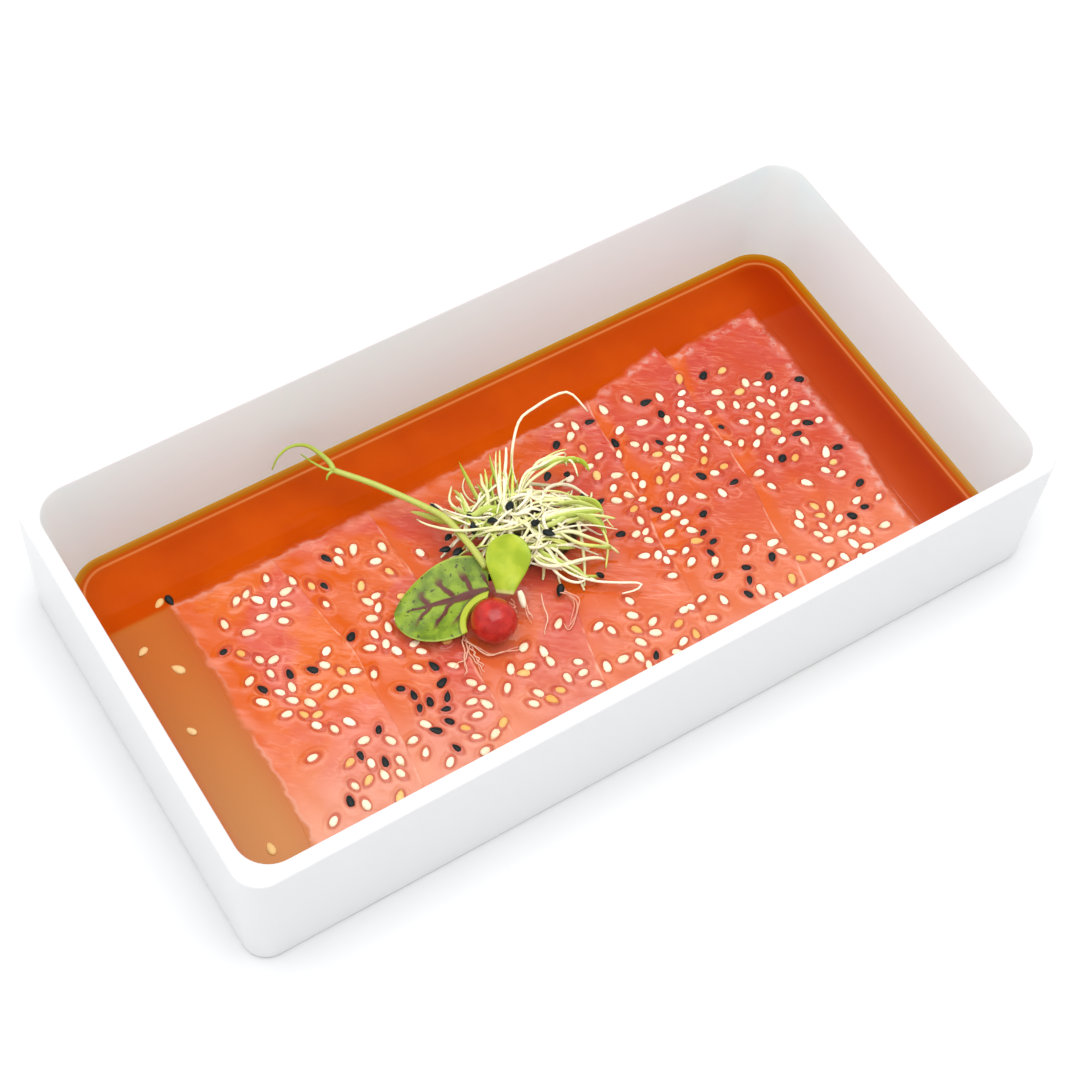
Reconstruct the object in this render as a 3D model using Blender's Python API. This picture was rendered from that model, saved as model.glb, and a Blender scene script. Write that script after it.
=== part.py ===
"""Tuna carpaccio in an oblong white dish.

Six thin slices of raw tuna lie like shingles in a pool of orange sauce. White and black
sesame is scattered over them. A nest of sprouts, a red-veined leaf, a small lime-green
leaf, a pea shoot and a red berry sit on the fish.

Frame: metres, +Z up. The origin is the middle of the dish's base, +X runs along its long
side and +Y towards its back.
"""

import math
import random

import bmesh
import bpy
import numpy as np

MM = 0.001
GAP = 0.3 * MM

# Dish
DISH_LENGTH = 200.0 * MM
DISH_WIDTH = 104.5 * MM
DISH_HEIGHT = 36.5 * MM
FLOOR_TOP = 3.6 * MM
BASE_INSET = 0.6 * MM
RIM_WALL = 3.45 * MM
FILLET_RADIUS = 3.0 * MM
FILLET_INSET = 5.45 * MM
OUTER_CORNER = 6.3 * MM
INNER_CORNER_RIM = 7.4 * MM
INNER_CORNER_FLOOR = 9.9 * MM
RIM_ROUND = 0.7 * MM
BASE_ROUND = 1.2 * MM
ROUND_SHARE = 0.3
CORNER_SEGMENTS = 5
FILLET_STEPS = 3

# Sauce
SAUCE_LEVEL = 7.4 * MM
WELL_CLEARANCE = 0.6 * MM
WELL_STEP = 1.8 * WELL_CLEARANCE
WELL_POINTS_SLICE = 4
WELL_POINTS_SHORT = 11

# Slices: each edge between two slices by its place at the back and the front, and by how
# far it bows to the right half way
SLICE_THICKNESS = 1.6 * MM
SLICE_BASE = FLOOR_TOP + GAP + 0.15 * MM
SLICE_LIFT = SLICE_THICKNESS + GAP
SLICE_OVERLAP = 8.0 * MM
SLICE_BACK = 30.0 * MM
SLICE_FRONT = -41.5 * MM
EDGE_BACK = [v * MM for v in (-77.5, -52.7, -28.5, 4.5, 31.5, 53.5, 80.5)]
EDGE_FRONT = [v * MM for v in (-78.8, -52.8, -29.3, -6.8, 20.5, 46.0, 78.2)]
EDGE_BOW = [v * MM for v in (0.3, 4.5, 2.2, 1.8, 0.2, 1.8, 0.8)]
BACK_LEFT = [v * MM for v in (29.3, 29.2, 29.4, 29.8, 30.4, 31.6)]
BACK_RIGHT = [v * MM for v in (29.0, 29.4, 29.7, 30.2, 35.2, 33.6)]
EDGE_WAVE = 0.5 * MM
END_WAVE = 0.3 * MM
FRONT_END_SHARE = 0.8
FACE_WAVE = 0.12 * MM
RISE_INSET = 0.5 * MM
POOL_WIDTH = 4.0 * MM
POOL_SHARE = 0.6
THIN_EDGE = 1.2 * MM
THIN_SHARE = 0.7
ROWS = 9
END_ROW = 0.02

# Sesame: clusters as middle x, y, spread x, y in millimetres, white seeds and black seeds.
# Both kinds have one form here, so only the sum of the two counts matters to the solids
SEED_LENGTH = 3.2 * MM
SEED_WIDTH = 1.95 * MM
SEED_RISE = 0.85 * MM
SEED_RIM = 0.3 * MM
SEED_SIDES = 6
SEED_POINT = 0.9 * MM
SEED_SPACING = 2.5 * MM
SEED_POOL_MARGIN = 0.5 * MM
SEED_EDGE_MARGIN = SEED_LENGTH / 2 + 0.7 * MM
SEED_BACK_MARGIN = 2.8 * MM
SEED_FRONT_MARGIN = 4.5 * MM
SEED_BERRY_MARGIN = 5.9 * MM
SEED_NEST_MARGIN = 2.6 * MM
SEED_TRIES = 60
SEED_CLUSTERS = {
    "beside_nest": (27, -4, 4, 10, 22, 6),
    "back_right": (43, 9, 9, 8, 22, 5),
    "far_right": (63, 1, 6, 8, 15, 4),
    "front_right": (54, -29, 13, 6, 19, 6),
    "front_middle": (12, -32, 15, 5, 20, 3),
    "before_nest": (-24, -25, 10, 5, 11, 2),
    "left_middle": (-42, -7, 8, 10, 28, 6),
    "left_front": (-50, -30, 10, 6, 17, 6),
    "left_end": (-67, -2, 5, 10, 16, 3),
    "back_left": (-50, 17, 13, 4, 8, 1),
    "back_middle": (20, 25, 6, 3, 4, 1),
}
SAUCE_SEEDS = [(-87, 21), (-82.5, 13.5), (-87, -1), (-85.5, -33), (-82.5, 33)]

# Garnish
REST_HEIGHT = SAUCE_LEVEL + 0.95 * MM
BERRY_CENTRE = (-20.0 * MM, -12.7 * MM, 13.0 * MM)
BERRY_RADIUS = 5.05 * MM
LEAF_BASE = (-16.9 * MM, -5.5 * MM, 12.9 * MM)
LEAF_TIP = (-37.0 * MM, 0.6 * MM, 10.2 * MM)
LEAF_HALF_WIDTH = 9.3 * MM
LEAF_THICKNESS = 0.5 * MM
LEAF_CUP = 1.1 * MM
LEAF_SIDE = (0.28, 0.95, 0.1)
LEAF_CELLS = (9, 7)
LEAF_FULLNESS = 0.72
LEAF_SKEW = 3.2 * MM
LIME_BASE = (-14.6 * MM, -8.3 * MM, 13.2 * MM)
LIME_TIP = (-8.4 * MM, 0.2 * MM, 21.0 * MM)
LIME_HALF_WIDTH = 4.9 * MM
LIME_THICKNESS = 0.6 * MM
LIME_CUP = 0.9 * MM
LIME_SIDE = (0.79, -0.61, 0.0)
LIME_CELLS = (8, 5)
LIME_FULLNESS = 1.5
BLADE_ROUNDNESS = 0.62
BLADE_LEAST_HALF = 0.45 * MM
BLADE_WAVE = 0.35 * MM
BLADE_CUP_SHIFT = 0.35
SHOOT_PATH = [(-15.3, -1.5, 15.3), (-15.4, 6.0, 14.9), (-16.3, 14.2, 14.5), (-18.9, 19.7, 14.2),
              (-22.4, 25.0, 14.6), (-26.1, 30.0, 15.2), (-31.7, 36.2, 16.2)]
TENDRIL_PATH = [(-31.7, 36.2, 16.2), (-31.9, 38.6, 17.2), (-34.7, 42.2, 20.2), (-38.5, 43.0, 21.8),
                (-41.8, 42.6, 21.0), (-44.0, 41.8, 18.4)]
SIDE_TENDRIL_PATH = [(-31.7, 36.2, 16.2), (-33.4, 37.4, 16.6), (-35.3, 40.2, 17.4), (-36.8, 41.8, 19.2)]
STUB_PATH = [(-31.7, 36.2, 16.2), (-33.3, 35.9, 16.0), (-34.0, 35.4, 15.2)]
SHOOT_RADIUS = 0.95 * MM
SHOOT_END_RADIUS = 0.75 * MM
SHOOT_SIDES = 5
TENDRIL_RADII = (0.8 * MM, 0.3 * MM)
SIDE_TENDRIL_RADII = (0.45 * MM, 0.25 * MM)
STUB_RADII = (0.5 * MM, 0.3 * MM)
TENDRIL_SIDES = 4
CORE_CENTRE = (0.0 * MM, 5.5 * MM)
CORE_HALF = (14.0 * MM, 10.5 * MM)
CORE_TURN = math.radians(-32.0)
CORE_BOTTOM = SAUCE_LEVEL + 0.6 * MM
CORE_HEIGHT = 9.0 * MM
CORE_SECTORS = 16
CORE_RINGS = 5
CORE_FOOT = 1.5 * MM
CORE_BUMP = 0.9 * MM
STRAND_COUNT = 17
STRAND_RADIUS = 0.45 * MM
STRAND_SIDES = 5
STRAND_TRIES = 900
STRAND_ROOT = (0.35, 0.75)
STRAND_ROOT_HEIGHT = 0.75
STRAND_TURN = 0.7
STRAND_BEND = 0.16
STRAND_CLIMB = (0.1, 0.75)
STRAND_STRIDE = (2.4 * MM, 3.4 * MM)
STRAND_STRIDES = (4, 6)
STRAND_DROOP = (0.15, 0.3)
CAP_REACH = 1.1 * MM
CAP_COUNT = 8
NAMED_STRANDS = {
    "tall_loop": [(2.0, 9.0, 12.5), (5.5, 20.5, 15.6), (11.0, 26.4, 17.4), (18.0, 28.3, 18.2),
                  (24.0, 27.4, 17.6), (26.6, 23.5, 15.0)],
    "long_white": [(-1.0, -1.5, 14.0), (0.3, -9.0, 12.0), (4.0, -13.2, 10.6), (9.0, -16.2, 9.9),
                   (14.2, -19.0, 9.7)],
    "yellow_side": [(8.0, 3.0, 12.0), (14.2, -0.5, 12.0), (13.2, -6.6, 10.8), (9.8, -12.6, 9.8)],
    "left_end": [(-5.5, 8.0, 12.5), (-11.5, 12.5, 14.4), (-12.6, 18.0, 12.8), (-9.5, 22.6, 10.8)],
}
CLEAR = 0.4 * MM
LEAF_MARGIN = 0.9 * MM
LIME_MARGIN = 0.7 * MM
SHOOT_MARGIN = 0.3 * MM
SEEDED = 20


def clear_scene():
    for item in list(bpy.data.objects):
        bpy.data.objects.remove(item)


def material(name, colour, roughness, coat=0.0):
    made = bpy.data.materials.new(name)
    made.use_nodes = True
    shader = made.node_tree.nodes["Principled BSDF"]
    shader.inputs["Base Color"].default_value = (*colour, 1.0)
    shader.inputs["Roughness"].default_value = roughness
    shader.inputs["Metallic"].default_value = 0.0
    shader.inputs["Coat Weight"].default_value = coat
    return made


def add_object(name, points, faces, finish):
    mesh = bpy.data.meshes.new(name)
    mesh.from_pydata([tuple(p) for p in points], [], [tuple(f) for f in faces])
    shape = bmesh.new()
    shape.from_mesh(mesh)
    bmesh.ops.triangulate(shape, faces=shape.faces)
    bmesh.ops.recalc_face_normals(shape, faces=shape.faces)
    shape.to_mesh(mesh)
    shape.free()
    mesh.materials.append(finish)
    made = bpy.data.objects.new(name, mesh)
    bpy.context.collection.objects.link(made)
    return made


def combine(body, extras, operation):
    """Join other objects to the body, or cut them out, with one Boolean, then remove them."""
    group = bpy.data.collections.new(body.name + "_extras")
    bpy.context.scene.collection.children.link(group)
    for item in extras:
        group.objects.link(item)
        bpy.context.collection.objects.unlink(item)
    join = body.modifiers.new("join", "BOOLEAN")
    join.operation = operation
    join.operand_type = "COLLECTION"
    join.collection = group
    join.solver = "EXACT"
    joined = bpy.data.meshes.new_from_object(body.evaluated_get(bpy.context.evaluated_depsgraph_get()))
    body.modifiers.clear()
    body.data = joined
    for item in list(group.objects):
        bpy.data.objects.remove(item)
    bpy.data.collections.remove(group)
    keep_largest(body)


def keep_largest(body):
    """Drop loose scraps: keep the connected piece with the most faces."""
    shape = bmesh.new()
    shape.from_mesh(body.data)
    left = set(shape.verts)
    groups = []
    while left:
        stack = [left.pop()]
        found = set(stack)
        while stack:
            for edge in stack.pop().link_edges:
                for vert in edge.verts:
                    if vert in left:
                        left.discard(vert)
                        found.add(vert)
                        stack.append(vert)
        groups.append(found)
    groups.sort(key=len)
    scraps = [vert for found in groups[:-1] for vert in found]
    bmesh.ops.delete(shape, geom=scraps, context="VERTS")
    shape.to_mesh(body.data)
    shape.free()


def rounded_rectangle(half_x, half_y, radius, z):
    """Outline points of a rectangle with arc corners, anticlockwise from the right side."""
    points = []
    for quarter, (sign_x, sign_y) in enumerate(((1, 1), (-1, 1), (-1, -1), (1, -1))):
        for step in range(CORNER_SEGMENTS + 1):
            angle = math.pi / 2 * (quarter + step / CORNER_SEGMENTS)
            x = sign_x * (half_x - radius) + radius * math.cos(angle)
            y = sign_y * (half_y - radius) + radius * math.sin(angle)
            points.append((x, y, z))
    return points


def loft(rings):
    """Faces between rings of equal length, with flat ends."""
    count = len(rings[0])
    points = [p for ring in rings for p in ring]
    faces = []
    for level in range(len(rings) - 1):
        low = level * count
        high = low + count
        for i in range(count):
            j = (i + 1) % count
            faces.append((low + i, low + j, high + j, high + i))
    faces.append(tuple(reversed(range(count))))
    faces.append(tuple(range((len(rings) - 1) * count, len(rings) * count)))
    return points, faces


def inner_profile(gap=0.0):
    """Inset and height from the rim down the inner wall and round to the floor."""
    start = FLOOR_TOP + FILLET_RADIUS
    profile = [(RIM_WALL + gap, DISH_HEIGHT), (FILLET_INSET + gap, start)]
    for step in range(1, FILLET_STEPS + 1):
        angle = math.pi / 2 * step / FILLET_STEPS
        radius = FILLET_RADIUS - gap
        inset = FILLET_INSET + FILLET_RADIUS - radius * math.cos(angle)
        profile.append((inset, start - radius * math.sin(angle)))
    return profile


def inner_corner(inset):
    share = (inset - RIM_WALL) / (FILLET_INSET - RIM_WALL)
    return INNER_CORNER_RIM + min(share, 1.0) * (INNER_CORNER_FLOOR - INNER_CORNER_RIM)


def inner_ring(inset, z, gap=0.0):
    """Outline of the dish's inside at one height, drawn in by a gap."""
    radius = inner_corner(inset - gap) - gap - max(inset - gap - FILLET_INSET, 0.0)
    return rounded_rectangle(DISH_LENGTH / 2 - inset, DISH_WIDTH / 2 - inset, radius, z)


def outer_ring(inset, z):
    return rounded_rectangle(DISH_LENGTH / 2 - inset, DISH_WIDTH / 2 - inset, OUTER_CORNER - inset, z)


def make_dish():
    finish = material("white_glaze", (0.86, 0.86, 0.85), 0.25, 0.3)
    rings = [
        outer_ring(BASE_INSET + BASE_ROUND, 0.0),
        outer_ring(BASE_INSET + ROUND_SHARE * BASE_ROUND, ROUND_SHARE * BASE_ROUND),
        outer_ring(BASE_INSET, BASE_ROUND),
        outer_ring(0.0, DISH_HEIGHT - RIM_ROUND),
        outer_ring(ROUND_SHARE * RIM_ROUND, DISH_HEIGHT - ROUND_SHARE * RIM_ROUND),
        outer_ring(RIM_ROUND, DISH_HEIGHT),
    ]
    (rim_inset, rim_z), *below = inner_profile()
    rings.append(inner_ring(rim_inset - RIM_ROUND, rim_z))
    rings.append(inner_ring(rim_inset - ROUND_SHARE * RIM_ROUND, rim_z - ROUND_SHARE * RIM_ROUND))
    rings.append(inner_ring(rim_inset, rim_z - RIM_ROUND))
    for inset, z in below:
        rings.append(inner_ring(inset, z))
    add_object("dish", *loft(rings), finish)


def edge_x(k, y):
    """Place of the edge k along the dish, as a line from back to front with a bow and a wave."""
    share = (y - SLICE_FRONT) / (SLICE_BACK - SLICE_FRONT)
    line = EDGE_FRONT[k] + share * (EDGE_BACK[k] - EDGE_FRONT[k])
    bow = EDGE_BOW[k] * 4 * share * (1 - share)
    wave = EDGE_WAVE * (math.sin(y / (5.1 * MM) + 1.7 * k) + 0.6 * math.sin(y / (2.9 * MM) + 2.3 * k)) / 1.6
    return line + bow + wave


def end_y(k, x, back):
    """Place of a slice's cut end at a place along the dish."""
    edges = EDGE_BACK if back else EDGE_FRONT
    share = (x - edges[k]) / (edges[k + 1] - edges[k])
    wave = END_WAVE * math.sin(9.0 * share + 2.1 * k) * math.cos(4.0 * share + k)
    if back:
        return BACK_LEFT[k] + min(max(share, 0.0), 1.0) * (BACK_RIGHT[k] - BACK_LEFT[k]) + wave
    return SLICE_FRONT + FRONT_END_SHARE * wave


def face_wave(x, y):
    """Gentle unevenness of a slice: two slanting sine waves of different lengths."""
    first = math.sin(x / (6.5 * MM) + y / (9.0 * MM))
    return FACE_WAVE * first * math.sin(y / (6.0 * MM) - x / (14.0 * MM))


def stations(k, y):
    """Places across a slice: left edge, start of the rise, end of the pool, full lift, right edge."""
    under = SLICE_OVERLAP if k else 0.0
    left = edge_x(k, y) - under
    start = edge_x(k, y) + (RISE_INSET if k else 0.0)
    right = edge_x(k + 1, y)
    full = right - SLICE_OVERLAP - RISE_INSET
    return left, start, start + POOL_WIDTH, full, right


def lift(k, x, y):
    """Rise of a slice's underside: quick across the pool, then slow to the full lift."""
    _, start, pool, full, _ = stations(k, y)
    if x <= start:
        return 0.0
    if x <= pool:
        return SLICE_LIFT * POOL_SHARE * (x - start) / (pool - start)
    if x <= full:
        return SLICE_LIFT * (POOL_SHARE + (1 - POOL_SHARE) * (x - pool) / (full - pool))
    return SLICE_LIFT


def top_height(k, x, y):
    return SLICE_BASE + lift(k, x, y) + face_wave(x, y) + SLICE_THICKNESS


def slice_columns(k, y):
    """Places of the mesh columns across a slice at one place along it."""
    left, start, pool, full, right = stations(k, y)
    columns = [left, left + THIN_EDGE]
    if k:
        columns.append(start)
    columns += [pool, 0.5 * (pool + full), full, right - THIN_EDGE, right]
    return columns


def make_slice(k, seeds):
    finish = material(f"tuna_{k + 1}", (0.75, 0.12, 0.09), 0.3, 0.5)
    columns = len(slice_columns(k, 0.0))
    rows = [0.0, END_ROW] + [i / ROWS for i in range(1, ROWS)] + [1.0 - END_ROW, 1.0]
    top, bottom = [], []
    for row, share in enumerate(rows):
        for column in range(columns):
            y_front = end_y(k, slice_columns(k, SLICE_FRONT)[column], False)
            y_back = end_y(k, slice_columns(k, SLICE_BACK)[column], True)
            y = y_front + share * (y_back - y_front)
            x = slice_columns(k, y)[column]
            z = SLICE_BASE + lift(k, x, y) + face_wave(x, y)
            rim = row in (0, len(rows) - 1) or column in (0, columns - 1)
            depth = SLICE_THICKNESS * (THIN_SHARE if rim else 1.0)
            bottom.append((x, y, z))
            top.append((x, y, z + depth))
    made = add_object(f"slice_{k + 1}", *sheet(top, bottom, len(rows), columns), finish)
    if seeds:
        combine(made, [seed_object(f"seed_{k}_{i}", seed, finish) for i, seed in enumerate(seeds)], "UNION")


def sheet(top, bottom, rows, columns):
    """A closed sheet from two grids of points, both faces split into triangles alike."""
    points = top + bottom
    half = len(top)
    faces = []
    for row in range(rows - 1):
        for column in range(columns - 1):
            a = row * columns + column
            b, c, d = a + 1, a + columns + 1, a + columns
            faces += [(a, b, c), (a, c, d)]
            faces += [(half + a, half + c, half + b), (half + a, half + d, half + c)]
    loop = [column for column in range(columns)]
    loop += [row * columns + columns - 1 for row in range(1, rows)]
    loop += [(rows - 1) * columns + column for column in range(columns - 2, -1, -1)]
    loop += [row * columns for row in range(rows - 2, 0, -1)]
    for i, a in enumerate(loop):
        b = loop[(i + 1) % len(loop)]
        faces.append((a, half + a, half + b, b))
    return points, faces


def slice_at(x, y):
    """Number of the slice that shows at a place, or None beside the fish."""
    for k in range(len(BACK_LEFT)):
        if edge_x(k, y) <= x < edge_x(k + 1, y):
            return k
    return None


def beside_garnish(x, y):
    """True where a seed keeps clear of the berry and the sprouts."""
    if math.hypot(x - BERRY_CENTRE[0], y - BERRY_CENTRE[1]) < SEED_BERRY_MARGIN:
        return False
    return core_share(x, y, SEED_NEST_MARGIN) > 1.0


def core_share(x, y, margin=0.0):
    """Distance from the sprout core's middle as a share of its oval outline."""
    dx = x - CORE_CENTRE[0]
    dy = y - CORE_CENTRE[1]
    along = dx * math.cos(CORE_TURN) + dy * math.sin(CORE_TURN)
    across = dy * math.cos(CORE_TURN) - dx * math.sin(CORE_TURN)
    return math.hypot(along / (CORE_HALF[0] + margin), across / (CORE_HALF[1] + margin))


def seed_fits(x, y, placed):
    k = slice_at(x, y)
    if k is None or not beside_garnish(x, y):
        return False
    _, _, pool, _, right = stations(k, y)
    if x < pool + SEED_POOL_MARGIN or x > right - SEED_EDGE_MARGIN:
        return False
    if y > min(BACK_LEFT[k], BACK_RIGHT[k]) - SEED_BACK_MARGIN or y < SLICE_FRONT + SEED_FRONT_MARGIN:
        return False
    return all(math.hypot(x - px, y - py) > SEED_SPACING for px, py, *rest in placed)


def scatter_seeds():
    """Seeds as x, y, turn and slice number, drawn cluster by cluster."""
    draw = random.Random(SEEDED)
    placed = []
    for middle_x, middle_y, spread_x, spread_y, white, black in SEED_CLUSTERS.values():
        for _ in range(white + black):
            for _ in range(SEED_TRIES):
                x = draw.gauss(middle_x, spread_x) * MM
                y = draw.gauss(middle_y, spread_y) * MM
                if seed_fits(x, y, placed):
                    placed.append((x, y, draw.uniform(0, math.pi), slice_at(x, y)))
                    break
    return placed


def seed_object(name, seed, finish):
    """A seed as a low drop: a six-sided rim between a top and a point below the surface."""
    x, y, turn, z = seed
    points = []
    faces = []
    top = SEED_SIDES
    low = SEED_SIDES + 1
    for i in range(SEED_SIDES):
        angle = 2 * math.pi * i / SEED_SIDES
        along = SEED_LENGTH / 2 * math.cos(angle)
        across = SEED_WIDTH / 2 * math.sin(angle) * (1 - 0.25 * math.cos(angle))
        points.append((x + along * math.cos(turn) - across * math.sin(turn),
                       y + along * math.sin(turn) + across * math.cos(turn), z + SEED_RIM))
        j = (i + 1) % SEED_SIDES
        faces += [(i, j, top), (j, i, low)]
    points += [(x, y, z + SEED_RISE), (x, y, z - SEED_POINT)]
    return add_object(name, points, faces, finish)


def reach_at(x, back):
    """Furthest cut end of the slices that reach a place along the dish."""
    reach = []
    for k in range(len(BACK_LEFT)):
        left, _, _, _, right = stations(k, SLICE_BACK if back else SLICE_FRONT)
        if left - WELL_CLEARANCE <= x <= right + WELL_CLEARANCE:
            reach.append(end_y(k, x, back))
    return max(reach) + WELL_CLEARANCE if back else min(reach) - WELL_CLEARANCE


def well_long_side(back):
    """Points of the opening past the slices' cut ends, from left to right."""
    points = []
    y = SLICE_BACK if back else SLICE_FRONT
    for k in range(len(BACK_LEFT)):
        left = edge_x(k, y) + (WELL_STEP if k else -WELL_CLEARANCE)
        right = edge_x(k + 1, y) + WELL_CLEARANCE
        for i in range(WELL_POINTS_SLICE):
            x = left + (right - left) * i / (WELL_POINTS_SLICE - 1)
            points.append((x, reach_at(x, back)))
    return points


def well_short_side(k, side, y_front, y_back):
    """Points of the opening past the first or the last slice, between its corners."""
    points = []
    for i in range(1, WELL_POINTS_SHORT + 1):
        y = y_front + (y_back - y_front) * i / (WELL_POINTS_SHORT + 1)
        points.append((edge_x(k, y) + side * WELL_CLEARANCE, y))
    return points


def well_outline():
    """Outline of the opening round the fish: right side, back, left side, front."""
    back = well_long_side(True)
    front = well_long_side(False)
    right = well_short_side(len(BACK_LEFT), 1, front[-1][1], back[-1][1])
    left = well_short_side(0, -1, front[0][1], back[0][1])
    return right + back[::-1] + left[::-1] + front


def make_sauce():
    """The pool: the dish's inside up to the level, with an opening cut round the fish."""
    finish = material("orange_sauce", (0.52, 0.1, 0.012), 0.12, 0.4)
    (rim_inset, rim_z), (low_inset, low_z), *floor = inner_profile(GAP)
    share = (SAUCE_LEVEL - low_z) / (rim_z - low_z)
    level_inset = low_inset + share * (rim_inset - low_inset)
    profile = [(level_inset, SAUCE_LEVEL), (low_inset, low_z)] + floor
    made = add_object("sauce", *loft([inner_ring(inset, z, GAP) for inset, z in profile]), finish)
    well = well_outline()
    opening = [[(x, y, z) for x, y in well] for z in (0.0, SAUCE_LEVEL + FLOOR_TOP)]
    combine(made, [add_object("opening", *loft(opening), finish)], "DIFFERENCE")
    draw = random.Random(SEEDED + 1)
    seeds = [(x * MM, y * MM, draw.uniform(0, math.pi), SAUCE_LEVEL) for x, y in SAUCE_SEEDS]
    combine(made, [seed_object(f"floating_{i}", seed, finish) for i, seed in enumerate(seeds)], "UNION")


def make_slices():
    seeds = scatter_seeds()
    for k in range(len(BACK_LEFT)):
        own = [(x, y, turn, top_height(k, x, y)) for x, y, turn, number in seeds if number == k]
        make_slice(k, own)


def make_berry():
    finish = material("red_berry", (0.55, 0.02, 0.02), 0.2, 0.6)
    mesh = bpy.data.meshes.new("berry")
    shape = bmesh.new()
    bmesh.ops.create_uvsphere(shape, u_segments=12, v_segments=8, radius=BERRY_RADIUS)
    bmesh.ops.scale(shape, vec=(1.0, 1.0, 0.97), verts=shape.verts)
    bmesh.ops.translate(shape, vec=BERRY_CENTRE, verts=shape.verts)
    shape.to_mesh(mesh)
    shape.free()
    mesh.materials.append(finish)
    mesh.shade_smooth()
    bpy.context.collection.objects.link(bpy.data.objects.new("berry", mesh))


def leaf_frame(base, tip, level_side):
    """Unit vectors along a leaf, across it and out of its face."""
    along = np.array(tip) - np.array(base)
    length = np.linalg.norm(along)
    along /= length
    across = np.array(level_side, dtype=float)
    across -= along * np.dot(across, along)
    across /= np.linalg.norm(across)
    return along, across, np.cross(along, across), length


def leaf_grid(base, tip, half_width, cup, level_side, cells, fullness, skew):
    """Middle surface of a leaf: a grid whose width swells and ebbs from base to tip."""
    rows, columns = cells
    along, across, face, length = leaf_frame(base, tip, level_side)
    if face[2] < 0:
        face = -face
    grid = []
    for row in range(rows):
        share = row / (rows - 1)
        swell = max(math.sin(math.pi * share ** fullness), 0.0) ** BLADE_ROUNDNESS
        half = max(half_width * swell, BLADE_LEAST_HALF)
        for column in range(columns):
            side = 2 * column / (columns - 1) - 1
            wave = BLADE_WAVE * math.sin(9 * share + 2.5 * side) * abs(side)
            rise = cup * (side ** 2 - BLADE_CUP_SHIFT) * swell + wave
            place = np.array(base) + along * (share * length - skew * side * swell)
            grid.append(place + across * half * side + face * rise)
    return grid, face


def make_leaf(name, grid, face, thickness, cells, finish):
    top = [tuple(p + face * thickness / 2) for p in grid]
    bottom = [tuple(p - face * thickness / 2) for p in grid]
    add_object(name, *sheet(top, bottom, *cells), finish)


def sorrel_grid():
    """The red-veined leaf, its edge pushed out where it leans on the berry."""
    grid, face = leaf_grid(LEAF_BASE, LEAF_TIP, LEAF_HALF_WIDTH, LEAF_CUP, LEAF_SIDE, LEAF_CELLS,
                           LEAF_FULLNESS, LEAF_SKEW)
    middle = np.array(BERRY_CENTRE)
    reach = BERRY_RADIUS + LEAF_THICKNESS + 2 * GAP
    for i, place in enumerate(grid):
        away = place - middle
        distance = np.linalg.norm(away)
        if distance < reach:
            grid[i] = middle + away * reach / distance
    return grid, face


def lime_grid():
    return leaf_grid(LIME_BASE, LIME_TIP, LIME_HALF_WIDTH, LIME_CUP, LIME_SIDE, LIME_CELLS, LIME_FULLNESS, 0.0)


def smooth_path(points, steps):
    """Points on a Catmull-Rom curve through the given points."""
    given = [np.array(p, dtype=float) for p in points]
    given = [2 * given[0] - given[1]] + given + [2 * given[-1] - given[-2]]
    path = []
    for i in range(1, len(given) - 2):
        a, b, c, d = given[i - 1:i + 3]
        for step in range(steps):
            t = step / steps
            path.append(0.5 * (2 * b + (c - a) * t + (2 * a - 5 * b + 4 * c - d) * t * t
                               + (3 * b - a - 3 * c + d) * t ** 3))
    path.append(given[-2])
    return path


def tube(path, radii, sides):
    """A closed tube along a path, with its rings turned as little as can be."""
    path = [np.array(p, dtype=float) for p in path]
    normal = None
    rings = []
    for i, centre in enumerate(path):
        ahead = path[min(i + 1, len(path) - 1)] - path[max(i - 1, 0)]
        ahead /= np.linalg.norm(ahead)
        if normal is None:
            normal = np.cross(ahead, (0.31, 0.17, 0.93))
        normal = normal - ahead * np.dot(normal, ahead)
        normal /= np.linalg.norm(normal)
        side = np.cross(ahead, normal)
        ring = []
        for j in range(sides):
            angle = 2 * math.pi * j / sides
            ring.append(tuple(centre + radii[i] * (normal * math.cos(angle) + side * math.sin(angle))))
        rings.append(ring)
    return loft(rings)


def tapered(path, start, end):
    count = len(path)
    return [start + (end - start) * i / (count - 1) for i in range(count)]


def shoot_path():
    return [np.array(p) * MM for p in smooth_path(SHOOT_PATH, 2)]


def tendril_paths():
    paths = [(TENDRIL_PATH, TENDRIL_RADII), (SIDE_TENDRIL_PATH, SIDE_TENDRIL_RADII), (STUB_PATH, STUB_RADII)]
    return [([np.array(p) * MM for p in smooth_path(path, 2)], radii) for path, radii in paths]


def make_shoot():
    finish = material("pea_shoot", (0.42, 0.5, 0.08), 0.4)
    stem = shoot_path()
    radii = tapered(stem, SHOOT_RADIUS, SHOOT_END_RADIUS)
    body = add_object("pea_shoot", *tube(stem, radii, SHOOT_SIDES), finish)
    parts = []
    for i, (path, (start, end)) in enumerate(tendril_paths()):
        parts.append(add_object(f"tendril_{i}", *tube(path, tapered(path, start, end), TENDRIL_SIDES), finish))
    combine(body, parts, "UNION")


def obstacles():
    """Points of the other garnish, each with the distance that sprouts keep from it."""
    found = [(np.array(BERRY_CENTRE), BERRY_RADIUS)]
    found += [(p, LEAF_THICKNESS + LEAF_MARGIN) for p in sorrel_grid()[0]]
    found += [(p, LIME_THICKNESS + LIME_MARGIN) for p in lime_grid()[0]]
    found += [(p, SHOOT_RADIUS + SHOOT_MARGIN) for p in shoot_path()]
    for path, (start, _) in tendril_paths():
        found += [(p, start) for p in path]
    return found


def keeps_clear(path, radius, others):
    for p in path:
        if p[2] - radius < REST_HEIGHT:
            return False
        for centre, reach in others:
            if np.linalg.norm(p - centre) < reach + radius + CLEAR:
                return False
    return True


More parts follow.
